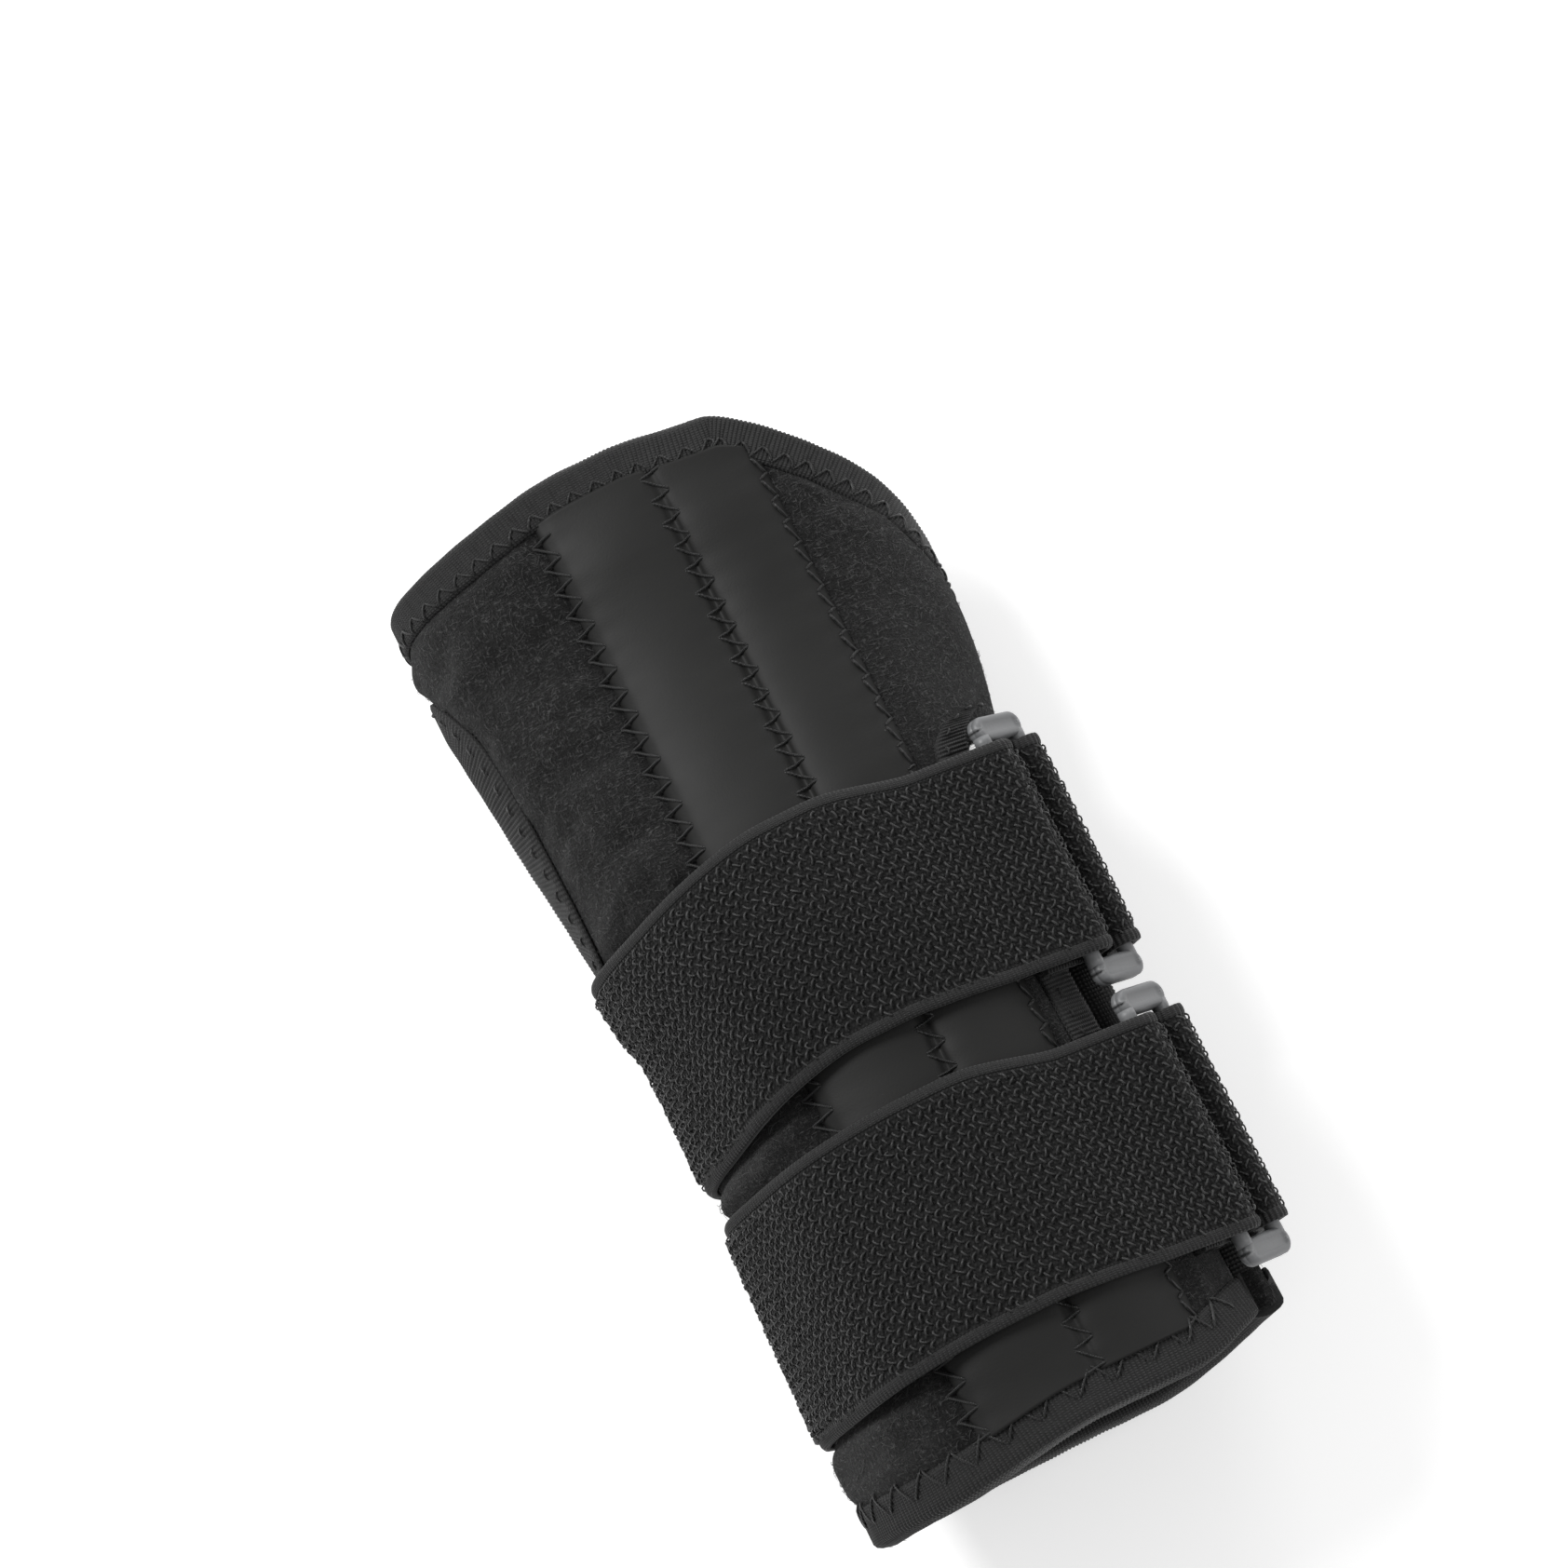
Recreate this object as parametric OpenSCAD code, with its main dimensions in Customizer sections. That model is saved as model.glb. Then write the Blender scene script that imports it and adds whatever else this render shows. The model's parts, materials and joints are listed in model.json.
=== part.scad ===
// Wrist splint for the left hand: a padded wrap with a thumb hole, stays in sewn pockets,
// and two hook-and-loop straps that run through plastic rings.
// X points to the little-finger side, Y to the fingers, Z out of the palm. It lies on its dorsal side.

/* [Wrap] */
// Length of the wrap on the palmar side
splint_length = 196; // [190:1:200]
// Width over the wrap at the forearm edge
forearm_width = 79; // [77:0.5:81]
// Width over the wrap at the wrist
wrist_width = 75.5; // [74:0.5:77]
// Width over the wrap at the palm
palm_width = 93; // [91:0.5:95]
// Height of the palmar face above the table at the forearm edge
forearm_height = 59; // [57:0.5:61]
// Height of the palmar face at the wrist
wrist_height = 50; // [49:0.5:52]
// Height of the palmar face at the palm
palm_height = 37.5; // [37:0.5:40]
// Thickness of the loop-faced shell
shell_thickness = 1.2; // [1:0.1:1.3]
// Thickness of the foam padding
foam_thickness = 2.4; // [2.2:0.1:2.5]
// Thickness of the lining
lining_thickness = 0.8; // [0.6:0.1:0.9]

/* [Bindings] */
// Width of the edge tape on each face
binding_width = 6.5; // [5:0.5:7]
// Thickness of the edge tape
binding_thickness = 0.8; // [0.6:0.1:0.8]

/* [Straps] */
// Width of each strap
strap_width = 43; // [42:0.5:44]
// Width of a strap where it runs through its ring
ring_strap_width = 41; // [40:0.5:41]
// Thickness of each strap
strap_thickness = 2; // [1.8:0.1:2]
// Length of each strap's loose end
strap_end_length = 33; // [28:1:34]
// Thickness of the hook patches
hook_thickness = 1; // [0.8:0.1:1]

/* [Rings] */
// Length of each ring along the arm
ring_length = 52.5; // [52:0.5:53]
// Distance between a ring's two bars
ring_pitch = 10; // [10:0.5:10.5]
// Diameter of a ring's bars
ring_bar_diameter = 3; // [2.8:0.1:3]
// Length of a ring's end pieces along the arm
ring_end_length = 4.8; // [4.5:0.1:5]

/* [Stays] */
// Width of the aluminium palm stay
stay_width = 14; // [11:1:14]
// Thickness of the palm stays
stay_thickness = 1.5; // [1.2:0.1:1.5]

/* [Hidden] */

$fn = 48;
// Gap that keeps neighbouring layers from sharing a face, the larger one under the tapes and the one at their folds
layer_gap = 0.05;
tape_gap = 0.3;
fold_gap = 0.5;
tape_out = tape_gap + binding_thickness;
// Where the wrap is narrowest, and where it reaches its full palm width
wrist_y = 90;
palm_y = 160;
// Roundness of the cross-section: 2 is an ellipse, more is squarer
squareness = 2.4;
// How far the section's curve would dip below the flat dorsal face
flat_drop = 3.5;
// The dorsal face lies this high, over the strap end, its hook patch and a small gap
patch_gap = 0.2;
dorsal_z = strap_thickness + hook_thickness + patch_gap;

// Places along the arm: [ring, palmar run, radial run, dorsal run] of each strap's middle
upper_strap_y = [97.3, 101, 92, 88];
lower_strap_y = [42.5, 46.5, 43, 42];
// Each ring's inner bar stands this far outside the section's half width, and this share of its half height up
upper_ring_out = 0.8;
lower_ring_out = 0.7;
ring_rise = 0.72;
// Slope of the rings across the arm, from inner bar to outer bar
ring_slope = -52;
// Room round each bar inside the strap fold and inside the tab's loop
fold_clearance = 1;
loop_clearance = 0.3;
tab_layer = 1.6;
tab_thickness = dorsal_z - 0.1;
ring_end_thickness = 3;

// How high each strap's middle runs over the shell: palmar over the stay channels, elsewhere over the tape
palmar_lift = 3.7;
side_lift = 1.4;

// The stay cover's edges and centre seam, as places across the palm
cover_left = -15.5;
cover_seam = 7.5;
cover_right = 26.5;
cover_thickness = 1;
cover_crown = 2;
seam_margin = 1;

// Thumb hole on the radial side: centre and half sizes along the arm and round the section
thumb_y = 140;
thumb_angle = 185;
thumb_half_length = 29.5;
thumb_half_angle = 15;

black = [0.09, 0.09, 0.09];
coated = [0.2, 0.2, 0.195];
thread = [0.04, 0.04, 0.04];
grey = [0.5, 0.51, 0.52];

function mix(a, b, t) = a + (b - a) * t;
function unit(t) = min(1, max(0, t));
function smooth(t) = let (u = unit(t)) u * u * (3 - 2 * u);
function joined(lists) = [for (l = lists) for (p = l) p];

// ---- The wrap's section at y: half width, half height and the height of its centre
function half_width(y) = y < wrist_y
    ? mix(forearm_width, wrist_width, smooth(y / wrist_y)) / 2
    : mix(wrist_width, palm_width, smooth((y - wrist_y) / (palm_y - wrist_y))) / 2;
function top_z(y) = y < wrist_y
    ? mix(forearm_height, wrist_height, smooth(y / wrist_y))
    : mix(wrist_height, palm_height, smooth((y - wrist_y) / (palm_y + 15 - wrist_y)));
function half_height(y) = (top_z(y) - dorsal_z + flat_drop) / 2;
function centre_z(y) = (top_z(y) + dorsal_z - flat_drop) / 2;

// Distance from the section's centre to its curve at an angle, 0 being the little-finger side and 90 the palm
function reach(y, angle, d) = pow(
    pow(abs(cos(angle)) / (half_width(y) + d), squareness)
    + pow(abs(sin(angle)) / (half_height(y) + d), squareness), -1 / squareness);

// The opening's palmar edge and dorsal edge, as angles
function palmar_edge(y) = mix(24, -14, smooth((y - 88) / 40));
function dorsal_edge(y) = mix(350, 322, smooth((y - 100) / 45));
// The dorsal flap stands off near its edge, where the rings pull it
function flare(y, angle) = 2.5 * smooth((angle - dorsal_edge(y) + 38) / 38);

// A point on the wrap at an angle, d outside the shell's outer face
function wrap_point(y, angle, d) = let (r = reach(y, angle, d) + flare(y, angle))
    [r * cos(angle), y, max(dorsal_z - d, centre_z(y) + r * sin(angle))];
// The same with no flare, for what lies inside the opening
function inner_point(y, angle, d) = let (r = reach(y, angle, d))
    [r * cos(angle), y, max(dorsal_z - d, centre_z(y) + r * sin(angle))];
// A point on the palmar side above x
function palm_point(x, y, d) = [x, y, centre_z(y)
    + (half_height(y) + d) * pow(1 - pow(abs(x) / (half_width(y) + d), squareness), 1 / squareness)];

// The wrap's edges at the fingers and at the forearm, where it starts forearm_set_back from y = 0
forearm_set_back = 3;
function hand_edge(angle) = splint_length
    - 56 * pow(1 - unit((angle + 14) / 56), 1.5)
    - 12 * smooth((angle - 110) / 160)
    - 9 * smooth((angle - 285) / 35);
function forearm_edge(angle) = forearm_set_back + 3 * smooth((140 - angle) / 60)
    + 4 * smooth((48 - angle) / 30) + 2 * smooth((angle - 170) / 80) + 5 * smooth((angle - 300) / 50);

// ---- Solids from rings or grids of points
// A closed slab between an outer and an inner grid of points
module slab(outer, inner) {
    rows = len(outer);
    cols = len(outer[0]);
    n = rows * cols;
    function at(side, i, j) = side * n + i * cols + j;
    function quad(a, b, c, d) = [[c, b, a], [d, c, a]];
    faces = concat(
        [for (i = [0:rows - 2], j = [0:cols - 2])
            each quad(at(0, i, j), at(0, i, j + 1), at(0, i + 1, j + 1), at(0, i + 1, j))],
        [for (i = [0:rows - 2], j = [0:cols - 2])
            each quad(at(1, i, j), at(1, i + 1, j), at(1, i + 1, j + 1), at(1, i, j + 1))],
        [for (i = [0:rows - 2])
            each quad(at(0, i, 0), at(0, i + 1, 0), at(1, i + 1, 0), at(1, i, 0))],
        [for (i = [0:rows - 2])
            each quad(at(0, i, cols - 1), at(1, i, cols - 1), at(1, i + 1, cols - 1), at(0, i + 1, cols - 1))],
        [for (j = [0:cols - 2])
            each quad(at(0, 0, j), at(1, 0, j), at(1, 0, j + 1), at(0, 0, j + 1))],
        [for (j = [0:cols - 2])
            each quad(at(0, rows - 1, j), at(0, rows - 1, j + 1), at(1, rows - 1, j + 1), at(1, rows - 1, j))]
    );
    polyhedron(points = concat(joined(outer), joined(inner)), faces = faces);
}

// A tube through rings of points; closed joins the last ring to the first, otherwise the ends are capped
module tube(rings, closed = false) {
    count = len(rings);
    sides = len(rings[0]);
    function at(i, k) = (i % count) * sides + (k % sides);
    walls = [for (i = [0:count - (closed ? 1 : 2)], k = [0:sides - 1])
        each [[at(i + 1, k + 1), at(i, k + 1), at(i, k)], [at(i + 1, k), at(i + 1, k + 1), at(i, k)]]];
    caps = closed ? [] : [
        [for (k = [0:sides - 1]) at(0, k)],
        [for (k = [sides - 1:-1:0]) at(count - 1, k)]
    ];
    polyhedron(points = joined(rings), faces = concat(walls, caps));
}

// The middle of the part's box goes to the origin. The thumb tape is its left side, a ring tab its right side
part_left = -palm_width / 2 - tape_out;
outer_bar_x = max(ring_outer(upper_strap_y[0], upper_ring_out).x, ring_outer(lower_strap_y[0], lower_ring_out).x);
part_right = outer_bar_x + ring_bar_diameter / 2 + loop_clearance + tab_layer;
centre_shift = [-(part_left + part_right) / 2, -(splint_length + forearm_set_back) / 2, 0];

// ---- The padded wrap's layers
wrap_columns = 36;
wrap_rows = 24;
shell_in = -shell_thickness;
foam_out = shell_in - layer_gap;
foam_in = foam_out - foam_thickness;
lining_out = foam_in - layer_gap;
wall = lining_out - lining_thickness;

function wrap_angle(y, share) = mix(palmar_edge(y), dorsal_edge(y), share);
// A column's angle moves along the arm with the opening, so it is found at the row's own y. Gives [y, angle]
function wrap_spot(share, row) =
    let (guess = wrap_angle(mix(0, splint_length, row), share))
    let (y_guess = mix(forearm_edge(guess), hand_edge(guess), row))
    let (angle = wrap_angle(y_guess, share))
    [mix(forearm_edge(angle), hand_edge(angle), row), angle];
function wrap_place(share, row, d) = let (spot = wrap_spot(share, row)) wrap_point(spot[0], spot[1], d);
function wrap_grid(d) = [for (i = [0:wrap_columns])
    [for (j = [0:wrap_rows]) wrap_place(i / wrap_columns, j / wrap_rows, d)]];

// The thumb hole's outline, grown by a distance
hole_steps = 32;
function rounded(c) = sign(c) * pow(abs(c), 0.8);
function hole_point(turn, grow, d) =
    let (y = thumb_y + (thumb_half_length + grow) * rounded(cos(turn)))
    let (rim = thumb_angle + thumb_half_angle * sign(sin(turn)))
    let (degree = norm(wrap_point(thumb_y, rim + 1, 0) - wrap_point(thumb_y, rim, 0)))
    let (spread = thumb_half_angle + grow / degree)
    wrap_point(y, thumb_angle + spread * rounded(sin(turn)), d);

module thumb_cutter() {
    depths = [-10, wall - 1, foam_in, foam_out, 0, 1.5, 14];
    rings = [for (d = depths) [for (k = [0:hole_steps - 1]) hole_point(k * 360 / hole_steps, 0, d)]];
    tube(rings);
}

module wrap_layer(d_out, d_in) {
    difference() {
        slab(wrap_grid(d_out), wrap_grid(d_in));
        thumb_cutter();
    }
}

module outer_shell() {
    color(black) translate(centre_shift) wrap_layer(0, shell_in);
}

// Flat pockets in the foam over the dorsal stays
dorsal_stay_size = [10, 150, 1];
dorsal_stay_x = [-9, 9];
dorsal_stay_y = 20;
stay_room = 0.1;

module foam_core() {
    color("dimgray") translate(centre_shift) difference() {
        wrap_layer(foam_out, foam_in);
        for (x = dorsal_stay_x)
            translate([x - dorsal_stay_size.x / 2 - stay_room, dorsal_stay_y - stay_room, 0])
                cube([dorsal_stay_size.x + 2 * stay_room, dorsal_stay_size.y + 2 * stay_room,
                    dorsal_z + shell_thickness + dorsal_stay_size.z + 3 * stay_room]);
    }
}

module inner_lining() {
    color("darkslategray") translate(centre_shift) wrap_layer(lining_out, wall);
}

module dorsal_stays() {
    color("silver") translate(centre_shift) for (x = dorsal_stay_x)
        translate([x - dorsal_stay_size.x / 2, dorsal_stay_y, dorsal_z + shell_thickness + stay_room])
            cube(dorsal_stay_size);
}

// The tongue bridges the opening from inside, clear of both tapes
tongue_out = wall - tape_out - 0.3;
tongue_thickness = 1.5;
tongue_columns = 10;
tongue_rows = 14;
function tongue_place(share, row, d) =
    let (y = mix(14, 136, row))
    inner_point(y, mix(palmar_edge(y) + 18, dorsal_edge(y) - 360 - 26, 1 - share), d);

module opening_tongue() {
    outer = [for (i = [0:tongue_columns]) [for (j = [0:tongue_rows])
        tongue_place(i / tongue_columns, j / tongue_rows, tongue_out)]];
    inner = [for (i = [0:tongue_columns]) [for (j = [0:tongue_rows])
        tongue_place(i / tongue_columns, j / tongue_rows, tongue_out - tongue_thickness)]];
    color("black") translate(centre_shift) slab(outer, inner);
}

// ---- The palmar stays and their cover
strip_rows = 16;
cover_columns = 12;
cover_start = binding_width + 9;
cover_end = splint_length - binding_width - 5.5;

// A strip on the palmar side from x1 down to x0, between two heights given by functions of x
module palm_strip(x0, x1, y0, y1, columns, low, high) {
    function grid(height) = [for (i = [0:columns]) [for (j = [0:strip_rows])
        let (x = mix(x1, x0, i / columns))
        palm_point(x, mix(y0, y1, j / strip_rows), height(x))]];
    slab(grid(high), grid(low));
}

// Two crowned channels with the centre seam in the valley between them
function channel(x, x0, x1) = pow(unit(sin(180 * unit((x - x0 - seam_margin) / (x1 - x0 - 2 * seam_margin)))), 0.25);
function cover_rise(x) = 0.1 + cover_crown
    * (x < cover_seam ? channel(x, cover_left, cover_seam) : channel(x, cover_seam, cover_right));

module palm_stay_cover() {
    color(coated) translate(centre_shift)
        palm_strip(cover_left, cover_right, cover_start, cover_end, cover_columns * 2,
            function (x) cover_rise(x), function (x) cover_rise(x) + cover_thickness);
}

stay_columns = 6;
stay_start = 20;
stay_end = 178;
stay_low = 0.15;

module palm_stay_strip(middle, width, thickness) {
    palm_strip(middle - width / 2, middle + width / 2, stay_start, stay_end, stay_columns,
        function (x) stay_low, function (x) stay_low + thickness);
}

module palm_stay() {
    color("silver") translate(centre_shift)
        palm_stay_strip((cover_left + cover_seam) / 2, stay_width, stay_thickness);
}

module palm_side_stay() {
    color("lightgray") translate(centre_shift)
        palm_stay_strip((cover_seam + cover_right) / 2, stay_width - 4, stay_thickness - 0.5);
}

// ---- Edge tapes: a folded U whose depth runs in from the edge and whose legs lie on both faces
// under is the gap between the lining and the inner leg
function tape_section(under = tape_gap) =
    let (out = -fold_gap - binding_thickness)
    let (half = binding_width / 2)
    let (low = wall - under - binding_thickness)
    [
        [out, low], [half, low], [binding_width, low],
        [binding_width, wall - under], [half, wall - under], [-fold_gap, wall - under],
        [-fold_gap, tape_gap], [half, tape_gap], [binding_width, tape_gap],
        [binding_width, tape_out], [half, tape_out], [out, tape_out]
    ];
function reversed(list) = [for (k = [len(list) - 1:-1:0]) list[k]];
function tape_turned(turned) = turned ? reversed(tape_section()) : tape_section();

// The tapes round the wrap's two ends share the columns of its layers; end is 0 at the forearm, 1 at the hand
module edge_tape(end) {
    inward = end == 0 ? 1 : -1;
    rings = [for (i = [0:wrap_columns])
        let (spot = wrap_spot(i / wrap_columns, end))
        [for (p = tape_turned(end == 0))
            let (y = spot[0] + inward * p.x)
            wrap_point(y, wrap_angle(y, i / wrap_columns) + spot[1] - wrap_angle(spot[0], i / wrap_columns), p.y)]];
    tube(rings);
}

module hand_edge_binding() {
    color(black) translate(centre_shift) edge_tape(1);
}

module forearm_edge_binding() {
    color(black) translate(centre_shift) edge_tape(0);
}

// The tapes along the opening share the layers' rows and stop short of the end tapes
tape_end_room = 1.2;

// share is 0 on the palmar edge and 1 on the dorsal edge
module opening_tape(share) {
    side = share == 0 ? 1 : -1;
    row_length = (wrap_spot(share, 1)[0] - wrap_spot(share, 0)[0]) / wrap_rows;
    first = ceil((binding_width + tape_end_room) / row_length);
    rings = [for (j = [first:wrap_rows - first])
        let (spot = wrap_spot(share, j / wrap_rows))
        [for (p = tape_turned(share == 1))
            wrap_point(spot[0], spot[1] + side * p.x / half_width(spot[0]) * 180 / PI, p.y)]];
    tube(rings);
}

module palmar_opening_binding() {
    color(black) translate(centre_shift) opening_tape(0);
}

module dorsal_opening_binding() {
    color(black) translate(centre_shift) opening_tape(1);
}

// The hole's tape runs across the lining's facets, so its inner leg stands further off
thumb_tape_under = 1;
module thumb_hole_binding() {
    rings = [for (i = [0:hole_steps - 1]) [for (p = tape_section(thumb_tape_under))
        hole_point(-i * 360 / hole_steps, p.x, p.y)]];
    color(black) translate(centre_shift) tube(rings, closed = true);
}

// ---- Thread: a square-section line through a list of points
thread_size = 0.5;
// across is the horizontal direction that the section is square to: [1, 0] for a line that runs along Y
module thread_line(path, across) {
    h = thread_size / 2;
    side = [across.x, across.y, 0] * h;
    up = [0, 0, h];
    rings = [for (p = path) [p - side - up, p - side + up, p + side + up, p + side - up]];
    tube(rings);
}

zigzag_pitch = 4.7;
zigzag_width = 4;
edge_zigzag_width = 1.4;
edge_zigzag_in = 1.2;
thread_gap = 0.1;
// A zigzag row lies level on the highest part of the cover that it touches
function zigzag(x, width, y0, y1) =
    let (rise = max([for (side = [-width:width / 4:width]) cover_rise(x + side / 2)]))
    [for (i = [0:2 * floor((y1 - y0) / zigzag_pitch)])
        palm_point(x + (i % 2 == 0 ? -1 : 1) * width / 2, y0 + i * zigzag_pitch / 2,
            rise + cover_thickness + thread_gap + thread_size / 2)];

module cover_stitching() {
    // Middle and width of each row; the outer two run just inside the cover's edges
    rows = [[cover_left + edge_zigzag_in, edge_zigzag_width], [cover_seam, zigzag_width],
        [cover_right - edge_zigzag_in, edge_zigzag_width]];
    color(thread) translate(centre_shift) for (row = rows)
        thread_line(zigzag(row.x, row.y, cover_start + 1, cover_end - 1), [1, 0]);
}

// Zigzags on the edge tapes, across the palmar face
function tape_zigzag(edge, inward, pitch, x0, x1) = [for (i = [0:floor((x1 - x0) / pitch * 2)])
    let (x = x0 + i * pitch / 2)
    let (angle = atan2(half_height(edge), x))
    let (y = (inward > 0 ? forearm_edge(angle) : hand_edge(angle)) + inward * (i % 2 == 0 ? 2 : 5.2))
    palm_point(x, y, tape_out + thread_gap + thread_size / 2)];

module binding_stitching() {
    color(thread) translate(centre_shift) {
        thread_line(tape_zigzag(5, 1, 6.6, -28, 24), [0, -1]);
        thread_line(tape_zigzag(190, -1, 4.2, -34, 24), [0, -1]);
    }
}

// ---- Rings: two round bars along the arm joined by flat ends
function ring_inner(y, out) = [half_width(y) + out, y, centre_z(y) + ring_rise * half_height(y)];
function ring_outer(y, out) = ring_inner(y, out) + ring_pitch * [cos(ring_slope), 0, sin(ring_slope)];

module rounded_end(depth) {
    r = depth / 2;
    span = ring_pitch + ring_bar_diameter;
    translate([-ring_bar_diameter / 2, 0]) square([span, depth - r]);
    translate([-ring_bar_diameter / 2 + r, 0]) square([span - 2 * r, depth]);
    for (x = [r, span - r])
        translate([x - ring_bar_diameter / 2, depth - r]) circle(r);
}

module ring(y, out) {
    r = ring_bar_diameter / 2;
    bar = ring_length - 2 * ring_end_length;
    translate(ring_inner(y, out)) rotate([0, -ring_slope, 0]) {
        for (x = [0, ring_pitch])
            translate([x, bar / 2 + 1, 0]) rotate([90, 0, 0]) cylinder(h = bar + 2, r = r);
        for (side = [0, 1])
            mirror([0, side, 0]) translate([0, bar / 2, -ring_end_thickness / 2])
                linear_extrude(ring_end_thickness) rounded_end(ring_end_length);
    }
}

module upper_ring() {
    color(grey) translate(centre_shift) ring(upper_strap_y[0], upper_ring_out);
}

module lower_ring() {
    color(grey) translate(centre_shift) ring(lower_strap_y[0], lower_ring_out);
}

// ---- Straps: slabs that follow lines of points, one line for each place across the width
strap_rows = 4;

// A line's points moved sideways in the XZ plane by h, to the left of the way it runs
function beside(line, h) = [for (i = [0:len(line) - 1])
    let (way = line[min(len(line) - 1, i + 1)] - line[max(0, i - 1)])
    line[i] + h / norm([way.x, way.z]) * [-way.z, 0, way.x]];

module strap_slab(lines, thickness) {
    outer = [for (line = lines) beside(line, -thickness / 2)];
    inner = [for (line = lines) beside(line, thickness / 2)];
    function turned(grid) = [for (i = [0:len(grid[0]) - 1]) [for (row = grid) row[i]]];
    slab(turned(outer), turned(inner));
}

function across(middle, width, share) = middle + (share - 0.5) * width;
function strap_middle(ys, angle) =
    mix(mix(mix(ys[0], ys[1], smooth((angle - 30) / 50)), ys[2], smooth((angle - 95) / 80)), ys[3],
        smooth((angle - 185) / 50));

strap_end_x = -18;
palmar_step = 8;
// The base's run: angle, and height over the shell as it climbs over the tape
base_run = [[35, 1.5], [32, 1.5], [29, 1.5]];

// The strap's base under the ring, the fold round its inner bar and the long run to the dorsal side
function strap_line(ys, out, share) =
    let (y = across(ys[0], ring_strap_width, share))
    let (h = strap_thickness / 2)
    let (bar = ring_inner(ys[0], out))
    let (fold = ring_bar_diameter / 2 + fold_clearance + h)
    concat(
        [for (s = base_run) inner_point(y, s[0], s[1] + h)],
        [for (a = [-145:20:55]) [bar.x + fold * cos(a), y, bar.z + fold * sin(a)]],
        [for (a = [48:palmar_step:230])
            let (lift = mix(palmar_lift, side_lift, smooth((a - 125) / 35)))
            let (width = mix(ring_strap_width, strap_width, smooth((a - 44) / 30)))
            let (p = inner_point(across(strap_middle(ys, a), width, share), a, lift + h))
            [p.x, p.y, max(h, p.z)]],
        [for (x = [strap_end_x - 5, strap_end_x - h - loop_clearance])
            [x, across(ys[3], strap_width, share), h]]);

module strap(ys, out) {
    strap_slab([for (j = [0:strap_rows]) strap_line(ys, out, j / strap_rows)], strap_thickness);
}

module upper_strap() {
    color(black) translate(centre_shift) strap(upper_strap_y, upper_ring_out);
}

module lower_strap() {
    color(black) translate(centre_shift) strap(lower_strap_y, lower_ring_out);
}

// The loose end starts with a rounded edge, which is its fold line
module strap_end(y) {
    h = strap_thickness / 2;
    translate([strap_end_x, y + strap_width / 2, h]) rotate([90, 0, 0]) linear_extrude(strap_width) {
        circle(h);
        translate([0, -h]) square([strap_end_length, strap_thickness]);
    }
}

module upper_strap_end() {
    color(black) translate(centre_shift) strap_end(upper_strap_y[3]);
}

module lower_strap_end() {
    color(black) translate(centre_shift) strap_end(lower_strap_y[3]);
}

hook_margin = 4;
module hook_patch(y) {
    translate([strap_end_x + hook_margin, y - strap_width / 2 + 1.5, strap_thickness])
        cube([strap_end_length - hook_margin - 1, strap_width - 3, hook_thickness]);
}

module upper_hook_patch() {
    color("dimgray") translate(centre_shift) hook_patch(upper_strap_y[3]);
}

module lower_hook_patch() {
    color("dimgray") translate(centre_shift) hook_patch(lower_strap_y[3]);
}

// ---- Tabs: doubled strap fabric sewn to the dorsal flap, with a loop round the ring's outer bar
tab_start_x = 18;

function tab_line(middle, out, share) =
    let (y = across(middle, ring_strap_width, share))
    let (bar = ring_outer(middle, out))
    let (h = tab_thickness / 2)
    concat(
        [for (x = [tab_start_x, tab_start_x + 4]) [x, y, h]],
        [for (a = [314:6:350])
            let (p = wrap_point(y, a, mix(0.15, tape_out + 0.2, smooth((a - 316) / 18)) + h))
            [p.x, y, max(h, p.z)]],
        [[bar.x - 0.4, y, bar.z - ring_bar_diameter / 2 - loop_clearance - tab_layer / 2]]);

module ring_tab(middle, out) {
    bar = ring_outer(middle, out);
    loop = ring_bar_diameter / 2 + loop_clearance;
    difference() {
        union() {
            strap_slab([for (j = [0:strap_rows]) tab_line(middle, out, j / strap_rows)], tab_thickness);
            translate([bar.x, middle + ring_strap_width / 2, bar.z]) rotate([90, 0, 0])
                cylinder(h = ring_strap_width, r = loop + tab_layer);
        }
        translate([bar.x, middle + ring_strap_width / 2 + 1, bar.z]) rotate([90, 0, 0])
            cylinder(h = ring_strap_width + 2, r = loop);
    }
}

module upper_ring_tab() {
    color(black) translate(centre_shift) ring_tab(upper_strap_y[0], upper_ring_out);
}

module lower_ring_tab() {
    color(black) translate(centre_shift) ring_tab(lower_strap_y[0], lower_ring_out);
}

// Bar tacks on the tabs' sewn ends
tack_size = [1.2, 12, 0.08];
module tab_stitching() {
    color(thread) translate(centre_shift) for (y = [upper_strap_y[0], lower_strap_y[0]])
        for (side = [-1, 1])
            translate([tab_start_x + 1, y + side * 11 - tack_size.y / 2, tab_thickness])
                cube(tack_size);
}

outer_shell();
foam_core();
inner_lining();
opening_tongue();
palm_stay_cover();
palm_stay();
palm_side_stay();
dorsal_stays();
hand_edge_binding();
forearm_edge_binding();
thumb_hole_binding();
palmar_opening_binding();
dorsal_opening_binding();
cover_stitching();
binding_stitching();
tab_stitching();
upper_strap();
lower_strap();
upper_strap_end();
lower_strap_end();
upper_hook_patch();
lower_hook_patch();
upper_ring();
lower_ring();
upper_ring_tab();
lower_ring_tab();
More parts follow.
